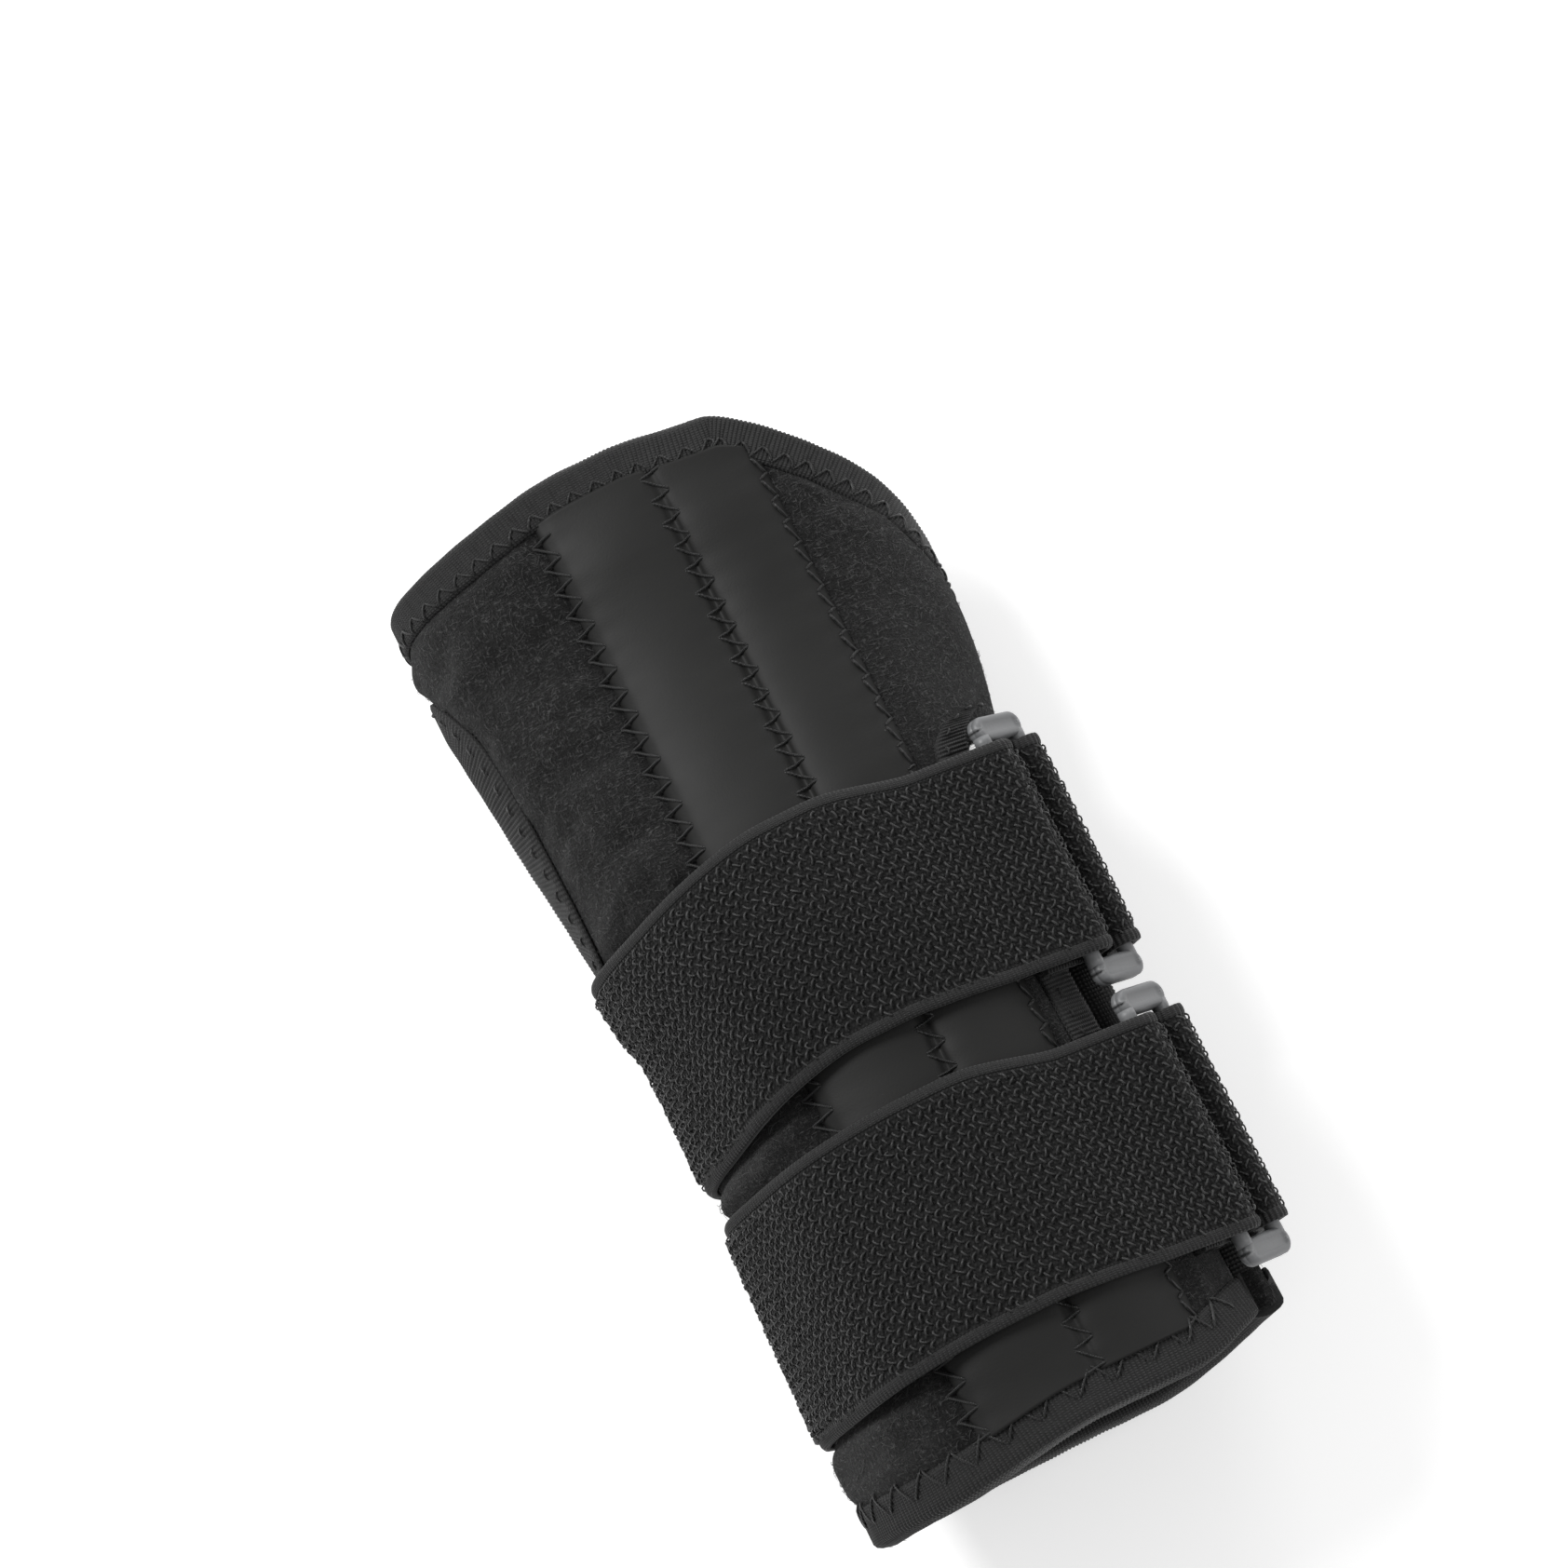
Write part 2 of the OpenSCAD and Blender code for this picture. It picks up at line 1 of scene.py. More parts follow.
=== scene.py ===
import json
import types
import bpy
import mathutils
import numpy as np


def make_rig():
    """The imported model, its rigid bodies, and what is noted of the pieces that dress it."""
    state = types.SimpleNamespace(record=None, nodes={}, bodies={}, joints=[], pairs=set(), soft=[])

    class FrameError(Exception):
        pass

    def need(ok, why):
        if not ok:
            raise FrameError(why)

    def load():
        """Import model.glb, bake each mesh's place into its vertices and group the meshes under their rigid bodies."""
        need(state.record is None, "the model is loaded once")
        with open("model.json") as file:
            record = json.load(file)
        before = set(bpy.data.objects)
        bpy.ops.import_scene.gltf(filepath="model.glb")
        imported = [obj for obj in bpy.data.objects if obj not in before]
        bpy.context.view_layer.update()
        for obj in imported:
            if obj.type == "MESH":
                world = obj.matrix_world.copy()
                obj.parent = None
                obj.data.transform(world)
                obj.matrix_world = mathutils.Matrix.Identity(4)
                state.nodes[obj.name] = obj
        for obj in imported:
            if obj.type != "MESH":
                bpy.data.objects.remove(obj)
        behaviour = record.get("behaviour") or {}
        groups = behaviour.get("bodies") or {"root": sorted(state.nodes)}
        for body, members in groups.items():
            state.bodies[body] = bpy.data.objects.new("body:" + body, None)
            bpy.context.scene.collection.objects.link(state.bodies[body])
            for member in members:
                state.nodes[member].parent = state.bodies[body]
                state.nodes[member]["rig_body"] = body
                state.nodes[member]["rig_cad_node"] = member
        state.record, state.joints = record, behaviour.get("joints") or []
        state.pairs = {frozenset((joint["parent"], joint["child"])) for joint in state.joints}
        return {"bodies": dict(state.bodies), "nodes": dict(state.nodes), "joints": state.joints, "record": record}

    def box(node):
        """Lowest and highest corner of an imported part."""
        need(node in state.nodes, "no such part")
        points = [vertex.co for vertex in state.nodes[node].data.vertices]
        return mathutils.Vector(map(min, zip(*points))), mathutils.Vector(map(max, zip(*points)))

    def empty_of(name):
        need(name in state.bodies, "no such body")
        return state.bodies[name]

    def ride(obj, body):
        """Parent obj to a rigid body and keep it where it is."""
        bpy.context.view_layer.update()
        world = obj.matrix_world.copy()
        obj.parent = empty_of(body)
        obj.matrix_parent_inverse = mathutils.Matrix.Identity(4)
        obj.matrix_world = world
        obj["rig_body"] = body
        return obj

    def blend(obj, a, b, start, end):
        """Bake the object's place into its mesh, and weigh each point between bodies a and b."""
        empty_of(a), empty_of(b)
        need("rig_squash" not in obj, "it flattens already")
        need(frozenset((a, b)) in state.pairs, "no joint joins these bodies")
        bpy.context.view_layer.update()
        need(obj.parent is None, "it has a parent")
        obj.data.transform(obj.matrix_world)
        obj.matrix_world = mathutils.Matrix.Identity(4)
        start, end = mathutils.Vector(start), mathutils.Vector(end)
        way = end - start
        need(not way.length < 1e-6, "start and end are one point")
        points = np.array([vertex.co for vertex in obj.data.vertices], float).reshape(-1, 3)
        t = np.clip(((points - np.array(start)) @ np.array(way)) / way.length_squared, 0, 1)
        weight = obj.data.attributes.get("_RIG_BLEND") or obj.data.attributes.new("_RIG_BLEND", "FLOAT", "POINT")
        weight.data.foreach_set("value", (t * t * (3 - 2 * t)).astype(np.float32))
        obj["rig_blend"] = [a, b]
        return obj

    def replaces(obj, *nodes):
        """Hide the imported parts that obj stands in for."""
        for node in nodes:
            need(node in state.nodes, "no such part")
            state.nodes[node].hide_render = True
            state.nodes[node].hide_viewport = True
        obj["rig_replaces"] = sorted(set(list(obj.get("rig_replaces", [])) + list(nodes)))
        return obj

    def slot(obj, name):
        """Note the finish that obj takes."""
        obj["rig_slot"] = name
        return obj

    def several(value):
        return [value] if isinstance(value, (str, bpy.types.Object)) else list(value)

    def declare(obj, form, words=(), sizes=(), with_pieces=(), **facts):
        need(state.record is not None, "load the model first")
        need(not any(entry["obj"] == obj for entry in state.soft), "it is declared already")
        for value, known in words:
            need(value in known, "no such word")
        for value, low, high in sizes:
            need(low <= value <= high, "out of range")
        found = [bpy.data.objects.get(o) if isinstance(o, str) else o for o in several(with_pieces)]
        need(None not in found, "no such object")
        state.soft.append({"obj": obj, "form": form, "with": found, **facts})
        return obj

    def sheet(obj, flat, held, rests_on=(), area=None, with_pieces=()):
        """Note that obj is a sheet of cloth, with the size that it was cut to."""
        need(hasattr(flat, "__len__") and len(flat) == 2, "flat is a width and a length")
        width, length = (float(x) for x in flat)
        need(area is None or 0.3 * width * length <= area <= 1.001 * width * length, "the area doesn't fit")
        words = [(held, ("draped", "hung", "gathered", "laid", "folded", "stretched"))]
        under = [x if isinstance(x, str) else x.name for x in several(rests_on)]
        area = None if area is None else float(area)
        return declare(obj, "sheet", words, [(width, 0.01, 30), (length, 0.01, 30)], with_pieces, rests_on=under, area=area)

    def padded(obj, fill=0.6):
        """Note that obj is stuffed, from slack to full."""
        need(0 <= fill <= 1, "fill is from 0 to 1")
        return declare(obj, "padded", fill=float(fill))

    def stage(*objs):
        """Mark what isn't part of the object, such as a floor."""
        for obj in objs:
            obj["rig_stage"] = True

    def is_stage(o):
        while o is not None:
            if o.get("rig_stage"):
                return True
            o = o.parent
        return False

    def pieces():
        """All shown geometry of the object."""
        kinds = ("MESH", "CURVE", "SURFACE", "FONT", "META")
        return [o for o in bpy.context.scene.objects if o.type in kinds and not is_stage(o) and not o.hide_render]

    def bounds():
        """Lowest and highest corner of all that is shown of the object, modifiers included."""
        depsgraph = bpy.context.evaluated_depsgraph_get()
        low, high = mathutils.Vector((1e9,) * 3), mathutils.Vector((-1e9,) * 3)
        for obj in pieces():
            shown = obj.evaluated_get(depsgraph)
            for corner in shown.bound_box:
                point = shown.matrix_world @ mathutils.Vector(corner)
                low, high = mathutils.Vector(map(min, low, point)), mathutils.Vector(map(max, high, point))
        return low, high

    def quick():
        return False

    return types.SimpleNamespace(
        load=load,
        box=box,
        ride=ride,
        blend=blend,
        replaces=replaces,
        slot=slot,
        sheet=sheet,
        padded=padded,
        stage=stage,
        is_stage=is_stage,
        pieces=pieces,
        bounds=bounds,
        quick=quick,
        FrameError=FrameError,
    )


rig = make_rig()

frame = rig.load()

import json
import math

import bpy
import numpy as np
from mathutils import Matrix, Vector

cad_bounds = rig.bounds()

# The splint's shape is worked out in millimetres from the forearm edge, then moved into the frame and scaled
MM = 0.001
STRAP_END_TIP, STRAP_END_Y = -19.0, 88.0
END_LOW, END_HIGH = (np.array(corner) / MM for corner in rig.box("upper_strap_end"))
SHIFT = np.array([END_LOW[0] - STRAP_END_TIP, (END_LOW[1] + END_HIGH[1]) / 2 - STRAP_END_Y, 0.0])
RNG = np.random.default_rng(7)

# ---- Sizes, as in the CAD part
LENGTH = 196.0
FOREARM_WIDTH, WRIST_WIDTH, PALM_WIDTH = 79.0, 75.5, 93.0
FOREARM_HEIGHT, WRIST_HEIGHT, PALM_HEIGHT = 59.0, 50.0, 37.5
WRIST_Y, PALM_Y = 90.0, 160.0
SQUARENESS = 2.4
DORSAL_Z, FLAT_DROP = 3.2, 3.5
SHELL_IN, FOAM_IN, LINING_OUT, WALL = -1.2, -3.65, -3.7, -4.5
TAPE_WIDTH, TAPE_FOLD, TAPE_OUT, TAPE_GAP = 6.5, 1.3, 1.1, 0.3
COVER_LEFT, COVER_SEAM, COVER_RIGHT = -15.5, 7.5, 26.5
THUMB_Y, THUMB_ANGLE, THUMB_HALF_LENGTH, THUMB_HALF_ANGLE = 140.0, 185.0, 29.5, 15.0
STRAP_WIDTH, RING_STRAP_WIDTH, STRAP_THICKNESS = 43.0, 41.0, 2.0
UPPER_Y, LOWER_Y = (97.3, 101.0, 92.0, STRAP_END_Y), (42.5, 46.5, 43.0, 42.0)
UPPER_OUT, LOWER_OUT = 0.8, 0.7
RING_RISE, RING_SLOPE, RING_PITCH = 0.72, -52.0, 10.0
RING_LENGTH, RING_END, RING_BAR = 52.5, 4.8, 1.5
STRAPS = {"upper": (UPPER_Y, UPPER_OUT), "lower": (LOWER_Y, LOWER_OUT)}


def mix(a, b, t):
    return a + (b - a) * t


def unit(t):
    return np.clip(t, 0.0, 1.0)


def smooth(t):
    u = unit(t)
    return u * u * (3 - 2 * u)


def cosd(a):
    return np.cos(np.radians(a))


def sind(a):
    return np.sin(np.radians(a))


# ---- The wrap's surface. An angle of 0 is the little-finger side and 90 the palm
def along_arm(y, forearm, wrist, palm, palm_y):
    low = mix(forearm, wrist, smooth(y / WRIST_Y))
    high = mix(wrist, palm, smooth((y - WRIST_Y) / (palm_y - WRIST_Y)))
    return np.where(y < WRIST_Y, low, high)


def half_width(y):
    return along_arm(y, FOREARM_WIDTH, WRIST_WIDTH, PALM_WIDTH, PALM_Y) / 2


def top_z(y):
    return along_arm(y, FOREARM_HEIGHT, WRIST_HEIGHT, PALM_HEIGHT, PALM_Y + 15)


def half_height(y):
    return (top_z(y) - DORSAL_Z + FLAT_DROP) / 2


def centre_z(y):
    return (top_z(y) + DORSAL_Z - FLAT_DROP) / 2


def reach(y, angle, d):
    flat = (np.abs(cosd(angle)) / (half_width(y) + d)) ** SQUARENESS
    tall = (np.abs(sind(angle)) / (half_height(y) + d)) ** SQUARENESS
    return (flat + tall) ** (-1 / SQUARENESS)


def palmar_edge(y):
    return mix(24.0, -14.0, smooth((y - 88) / 40))


def dorsal_edge(y):
    return mix(350.0, 322.0, smooth((y - 100) / 45))


def flare(y, angle):
    return 2.5 * smooth((angle - dorsal_edge(y) + 38) / 38)


def wrap_point(y, angle, d, flared=True):
    y, angle, d = np.broadcast_arrays(y, angle, d)
    r = reach(y, angle, d) + (flare(y, angle) if flared else 0)
    z = np.maximum(DORSAL_Z - d, centre_z(y) + r * sind(angle))
    return np.stack([r * cosd(angle), y, z], -1)


def palm_point(x, y, d):
    x, y, d = np.broadcast_arrays(x, y, d)
    lean = np.clip(1 - (np.abs(x) / (half_width(y) + d)) ** SQUARENESS, 0, 1) ** (1 / SQUARENESS)
    return np.stack([x, y, centre_z(y) + (half_height(y) + d) * lean], -1)


def hand_edge(angle):
    palm_rise = 2.3 * smooth((angle - 36) / 50) * (1 - smooth((angle - 125) / 60))
    return (LENGTH + palm_rise - 56 * (1 - unit((angle + 14) / 56)) ** 1.5
            - 12 * smooth((angle - 110) / 160) - 9 * smooth((angle - 285) / 35))


def forearm_edge(angle):
    return (3 + 3 * smooth((140 - angle) / 60) + 4 * smooth((48 - angle) / 30)
            + 2 * smooth((angle - 170) / 80) + 5 * smooth((angle - 300) / 50))


def degree_length(y, angle):
    step = wrap_point(y, angle + 0.5, 0.0) - wrap_point(y, angle - 0.5, 0.0)
    return np.linalg.norm(step, axis=-1)


def edge_slope(edge, angle):
    """How steeply an edge of the wrap runs along the arm, and the length of a degree there."""
    degree = degree_length(edge(angle), angle)
    return (edge(angle + 0.5) - edge(angle - 0.5)) / degree, degree


def wrap_angle(y, share):
    return mix(palmar_edge(y), dorsal_edge(y), share)


def wrap_spot(share, row):
    share, row = np.broadcast_arrays(share, row)
    guess = wrap_angle(LENGTH * row, share)
    y_guess = mix(forearm_edge(guess), hand_edge(guess), row)
    angle = wrap_angle(y_guess, share)
    return mix(forearm_edge(angle), hand_edge(angle), row), angle


def rounded(c):
    return np.sign(c) * np.abs(c) ** 0.8


def hole_spot(turn, grow):
    """The place (y, angle) grow outside the thumb hole's edge."""
    c, s = cosd(turn), sind(turn)
    rim = THUMB_ANGLE + THUMB_HALF_ANGLE * np.sign(s)
    here = wrap_point(THUMB_Y, rim, 0.0)
    degree = np.linalg.norm(wrap_point(THUMB_Y, rim + 1, 0.0) - here, axis=-1)
    spread = THUMB_HALF_ANGLE + grow / degree
    return THUMB_Y + (THUMB_HALF_LENGTH + grow) * rounded(c), THUMB_ANGLE + spread * rounded(s)


def hole_distance(y, angle):
    """How far a place is outside the thumb hole's edge, in millimetres; negative inside."""
    rim = wrap_point(*hole_spot(np.arange(0, 360, 1.5), 0.0), 0.0)
    here = wrap_point(y, angle, 0.0)
    far = np.full(here.shape[:-1], np.inf)
    for point in rim:
        far = np.minimum(far, np.linalg.norm(here - point, axis=-1))
    a = (y - THUMB_Y) / THUMB_HALF_LENGTH
    b = (angle - THUMB_ANGLE) / THUMB_HALF_ANGLE
    return np.where(np.abs(a) ** 2.5 + np.abs(b) ** 2.5 < 1, -far, far)


def waves(p, size, seed, octaves=2):
    """Smooth wandering from -1 to 1 over points p, with features about size millimetres across."""
    rng = np.random.default_rng(seed)
    total = np.zeros(p.shape[:-1])
    weight = 0.0
    for octave in range(octaves):
        for _ in range(5):
            way = rng.normal(size=3)
            way /= np.linalg.norm(way)
            start = rng.uniform(0, 6.28)
            total += np.sin(p @ way * 2 * math.pi * 2 ** octave / size + start) / 2 ** octave
            weight += 0.45 / 2 ** octave
    return np.clip(total / weight, -1.6, 1.6) / 1.6


# ---- Meshes from arrays of points
def to_frame(points):
    return (np.asarray(points, float).reshape(-1, 3) + SHIFT) * MM


def signed_volume(v, f):
    a, b, c, d = (v[f[:, k]] for k in range(4))
    return (np.einsum("ij,ij->i", a, np.cross(b, c)) + np.einsum("ij,ij->i", a, np.cross(c, d))).sum() / 6


def add_mesh(name, points, quads, material, flat=None, body="wrap", nodes=(), slot=None,
             outward=True, bend=None):
    """A smooth mesh of quads. flat holds each point's place on the unrolled cloth, in millimetres.
    bend is the two places between which the mesh turns from the wrap to its body."""
    v = to_frame(points)
    f = np.asarray(quads, int).reshape(-1, 4)
    used = np.unique(f)
    renumber = np.full(len(v), -1)
    renumber[used] = np.arange(len(used))
    v, f = v[used], renumber[f]
    if outward and signed_volume(v - v.mean(0), f) < 0:
        f = f[:, ::-1]
    mesh = bpy.data.meshes.new(name)
    mesh.vertices.add(len(v))
    mesh.vertices.foreach_set("co", v.ravel())
    mesh.loops.add(f.size)
    mesh.loops.foreach_set("vertex_index", f.ravel())
    mesh.polygons.add(len(f))
    mesh.polygons.foreach_set("loop_start", np.arange(len(f)) * 4)
    mesh.update(calc_edges=True)
    mesh.polygons.foreach_set("use_smooth", np.ones(len(f), bool))
    if flat is not None:
        uv = mesh.uv_layers.new(name="flat")
        place = np.asarray(flat, float).reshape(-1, 2)[used]
        uv.data.foreach_set("uv", place[f.ravel()].ravel() * 0.01)
    mesh.validate()
    mesh.materials.append(material)
    piece = bpy.data.objects.new(name, mesh)
    bpy.context.scene.collection.objects.link(piece)
    if nodes:
        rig.replaces(piece, *nodes)
    if slot:
        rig.slot(piece, slot)
    if bend:
        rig.blend(piece, "wrap", body, *bend)
    elif body:
        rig.ride(piece, body)
    return piece


def spread(u, v):
    return np.stack(np.broadcast_arrays(u, v), -1)


def read_points(mesh, what="co"):
    values = np.empty(len(mesh.vertices) * 3)
    mesh.vertices.foreach_get(what, values)
    return values.reshape(-1, 3)


def slab_quads(shape, keep=None):
    """Quads of a closed slab between two grids of this shape, the second numbered after the first."""
    rows, cols = shape
    n = rows * cols
    at = np.arange(n).reshape(rows, cols)
    keep = np.ones((rows - 1, cols - 1), bool) if keep is None else keep
    a, b, c, d = at[:-1, :-1], at[:-1, 1:], at[1:, 1:], at[1:, :-1]
    quads = [np.stack([a, b, c, d], -1)[keep], np.stack([a, d, c, b], -1)[keep] + n]
    wide = np.pad(keep, 1)
    inner = wide[1:-1, 1:-1]
    sides = ((wide[1:-1, :-2], a, d), (wide[1:-1, 2:], c, b),
             (wide[:-2, 1:-1], b, a), (wide[2:, 1:-1], d, c))
    for beyond, p, q in sides:
        edge = inner & ~beyond
        quads.append(np.stack([p[edge], q[edge], q[edge] + n, p[edge] + n], -1))
    return np.concatenate(quads)


def slab(name, outer, inner, material, flat=None, keep=None, **words):
    points = np.concatenate([outer.reshape(-1, 3), inner.reshape(-1, 3)])
    both = None if flat is None else np.concatenate([flat.reshape(-1, 2)] * 2)
    return add_mesh(name, points, slab_quads(outer.shape[:2], keep), material, both, **words)


def tube_quads(count, sides, closed=False):
    """Quads along count rings of so many sides; open ends are closed with a fan of quads."""
    at = np.arange(count * sides).reshape(count, sides)
    here = at if closed else at[:-1]
    there = np.roll(at, -1, 0) if closed else at[1:]
    quads = [np.stack([here, np.roll(here, -1, 1), np.roll(there, -1, 1), there], -1).reshape(-1, 4)]
    if not closed:
        for ring, step in ((at[0][::-1], 1), (at[-1], 1)):
            half = sides // 2
            quads.append(np.array([[ring[k], ring[k + 1], ring[-k - 2], ring[-k - 1]] for k in range(half - 1)]))
    return np.concatenate(quads)


def tubes(paths, ups, radius, sides=6):
    """Points and quads of one tube for each path. paths and ups are (tubes, points, 3)."""
    along = np.gradient(paths, axis=1)
    along /= np.maximum(np.linalg.norm(along, axis=-1, keepdims=True), 1e-9)
    across = np.cross(along, ups)
    across /= np.maximum(np.linalg.norm(across, axis=-1, keepdims=True), 1e-9)
    up = np.cross(across, along)
    turn = np.arange(sides) * 2 * math.pi / sides + math.pi / sides
    size = np.broadcast_to(radius, paths.shape[:2])[:, :, None, None]
    ring = across[:, :, None] * np.cos(turn)[:, None] + up[:, :, None] * np.sin(turn)[:, None]
    points = paths[:, :, None] + size * ring
    quads = tube_quads(paths.shape[1], sides)
    step = paths.shape[1] * sides
    return points.reshape(-1, 3), (quads + np.arange(len(paths))[:, None, None] * step).reshape(-1, 4)


def add_tubes(name, paths, ups, radius, material, sides=6, **words):
    points, quads = tubes(np.asarray(paths, float), np.asarray(ups, float), radius, sides)
    return add_mesh(name, points, quads, material, **words)


def grid_normals(grid):
    n = np.cross(np.gradient(grid, axis=0), np.gradient(grid, axis=1))
    return n / np.maximum(np.linalg.norm(n, axis=-1, keepdims=True), 1e-9)


def sample(grid, i, j):
    """The grid's value at fractional places i and j."""
    i = np.clip(i, 0, grid.shape[0] - 1.001)
    j = np.clip(j, 0, grid.shape[1] - 1.001)
    a, b = i.astype(int), j.astype(int)
    u, v = (i - a)[..., None], (j - b)[..., None]
    return (grid[a, b] * (1 - u) * (1 - v) + grid[a + 1, b] * u * (1 - v)
            + grid[a, b + 1] * (1 - u) * v + grid[a + 1, b + 1] * u * v)


def resample(path, count):
    """count points spread evenly along a path."""
    path = np.asarray(path, float)
    gone = np.concatenate([[0], np.cumsum(np.linalg.norm(np.diff(path, axis=0), axis=1))])
    at = np.linspace(0, gone[-1], count)
    return np.stack([np.interp(at, gone, path[:, k]) for k in range(3)], -1)


def path_length(path):
    return np.linalg.norm(np.diff(path, axis=0), axis=1).sum()


# ---- Materials
RIB_PITCH = 0.8
UV_SCALE = (100, 100, 1)


class Shader:
    """A material's nodes. Every call returns the new node's main output."""

    def __init__(self, name):
        self.material = bpy.data.materials.new(name)
        self.material.use_nodes = True
        self.tree = self.material.node_tree
        self.surface = self.tree.nodes["Principled BSDF"]
        self.coords = self.tree.nodes.new("ShaderNodeTexCoord")

    def node(self, kind, inputs=None, **settings):
        node = self.tree.nodes.new(kind)
        for key, value in settings.items():
            setattr(node, key, value)
        for key, value in (inputs or {}).items():
            if isinstance(value, bpy.types.NodeSocket):
                self.tree.links.new(value, node.inputs[key])
            else:
                node.inputs[key].default_value = value
        return node

    def place(self, scale=(1, 1, 1), turn=(0, 0, 0), kind="Object"):
        inputs = {"Vector": self.coords.outputs[kind], "Scale": scale, "Rotation": turn}
        return self.node("ShaderNodeMapping", inputs).outputs[0]

    def noise(self, vector, scale, detail=3.0, rough=0.55):
        inputs = {"Vector": vector, "Scale": scale, "Detail": detail, "Roughness": rough}
        return self.node("ShaderNodeTexNoise", inputs).outputs["Fac"]

    def cells(self, vector, scale):
        return self.node("ShaderNodeTexVoronoi", {"Vector": vector, "Scale": scale}).outputs["Distance"]

    def wave(self, vector, scale, distortion=0.0, direction="X", phase=0.0):
        inputs = {"Vector": vector, "Scale": scale, "Distortion": distortion, "Phase Offset": phase}
        return self.node("ShaderNodeTexWave", inputs, bands_direction=direction).outputs["Fac"]

    def ramp(self, factor, stops):
        node = self.node("ShaderNodeValToRGB", {"Fac": factor})
        ramp = node.color_ramp
        while len(ramp.elements) < len(stops):
            ramp.elements.new(0.5)
        for element, (at, colour) in zip(ramp.elements, stops):
            element.position = at
            value = colour if isinstance(colour, tuple) else (colour, colour, colour)
            element.color = (*value, 1)
        return node.outputs["Color"]

    def math(self, operation, a, b=0.0):
        return self.node("ShaderNodeMath", {0: a, 1: b}, operation=operation).outputs[0]

    def blend(self, factor, a, b, mode="MIX"):
        node = self.node("ShaderNodeMix", {"Factor": factor, 6: a, 7: b}, data_type="RGBA", blend_type=mode)
        return node.outputs[2]

    def bump(self, height, distance, strength=1.0, below=None):
        inputs = {"Height": height, "Distance": distance, "Strength": strength}
        if below is not None:
            inputs["Normal"] = below
        return self.node("ShaderNodeBump", inputs).outputs[0]

    def finish(self, colour, roughness, normal=None, **fixed):
        self.tree.links.new(colour, self.surface.inputs["Base Color"])
        if isinstance(roughness, float):
            self.surface.inputs["Roughness"].default_value = roughness
        else:
            self.tree.links.new(roughness, self.surface.inputs["Roughness"])
        if normal is not None:
            self.tree.links.new(normal, self.surface.inputs["Normal"])
        for key, value in fixed.items():
            self.surface.inputs[key.replace("_", " ").title().replace("Ior", "IOR")].default_value = value
        return self.material


def felt_material(name):
    """Brushed loop laminate: matted fibres that run mostly across the arm, a few of them paler."""
    s = Shader(name)
    across = s.place((260, 900, 420), (0, 0, 0.35))
    along = s.place((900, 330, 700), (0.2, 0, -0.5))
    fibre_a = s.noise(across, 3.0, 5.0, 0.7)
    fibre_b = s.noise(along, 3.0, 5.0, 0.7)
    fibres = s.math("MAXIMUM", fibre_a, fibre_b)
    patches = s.noise(s.place(), 90.0, 4.0, 0.6)
    base = s.ramp(fibres, [(0.46, 0.004), (0.55, 0.009), (0.60, 0.03), (0.67, 0.10)])
    shade = s.ramp(patches, [(0.3, 0.72), (0.7, 1.0)])
    colour = s.blend(1.0, base, shade, "MULTIPLY")
    pile = s.bump(fibres, 0.0012, 1.0)
    lumps = s.bump(patches, 0.0014, 0.4, pile)
    return s.finish(colour, 0.92, lumps, sheen_weight=0.12, sheen_roughness=0.45, specular_ior_level=0.12)


def knit_material(name):
    """The fine ground cloth of a strap: close wales and courses."""
    s = Shader(name)
    uv = s.place(UV_SCALE, kind="UV")
    wales = s.wave(uv, 0.42, 1.2, "X")
    courses = s.wave(uv, 0.36, 1.6, "Y")
    cloth = s.math("MULTIPLY", wales, courses)
    fuzz = s.noise(s.place(), 1500.0, 4.0, 0.7)
    base = s.ramp(cloth, [(0.0, 0.003), (0.5, 0.008), (1.0, 0.018)])
    colour = s.blend(0.35, base, s.ramp(fuzz, [(0.4, 0.002), (0.7, 0.03)]))
    relief = s.bump(cloth, 0.00035, 0.8)
    return s.finish(colour, 0.85, s.bump(fuzz, 0.0003, 0.5, relief), sheen_weight=0.12, sheen_roughness=0.5,
                    specular_ior_level=0.2)


def yarn_material(name, dark, light, roughness=0.5):
    """Twisted yarn or thread: a fine slanted twist and slight colour change from place to place."""
    s = Shader(name)
    twist = s.wave(s.place((1, 1, 1), (0.6, 0.5, 0.4)), 900.0, 2.0)
    patches = s.noise(s.place(), 420.0, 3.0)
    colour = s.ramp(patches, [(0.3, dark), (0.72, light)])
    return s.finish(colour, roughness, s.bump(twist, 0.00012, 0.6), sheen_weight=0.1, specular_ior_level=0.45)


def tape_material(name):
    """Ribbed woven tape: the ribs are in the mesh, the weave across them is here."""
    s = Shader(name)
    uv = s.place(UV_SCALE, kind="UV")
    threads = s.wave(uv, 0.9, 0.8, "Y")
    ribs = s.wave(uv, 2 * math.pi / (20 * RIB_PITCH), 0.0, "X", math.pi)
    fuzz = s.noise(s.place(), 1800.0, 3.0)
    weave = s.math("MULTIPLY", threads, ribs)
    base = s.ramp(weave, [(0.0, 0.0030), (0.4, 0.0085), (1.0, 0.024)])
    colour = s.blend(0.25, base, s.ramp(fuzz, [(0.4, 0.003), (0.75, 0.035)]))
    return s.finish(colour, 0.62, s.bump(weave, 0.00018, 0.7, s.bump(fuzz, 0.00015, 0.4)),
                    sheen_weight=0.08, specular_ior_level=0.35)


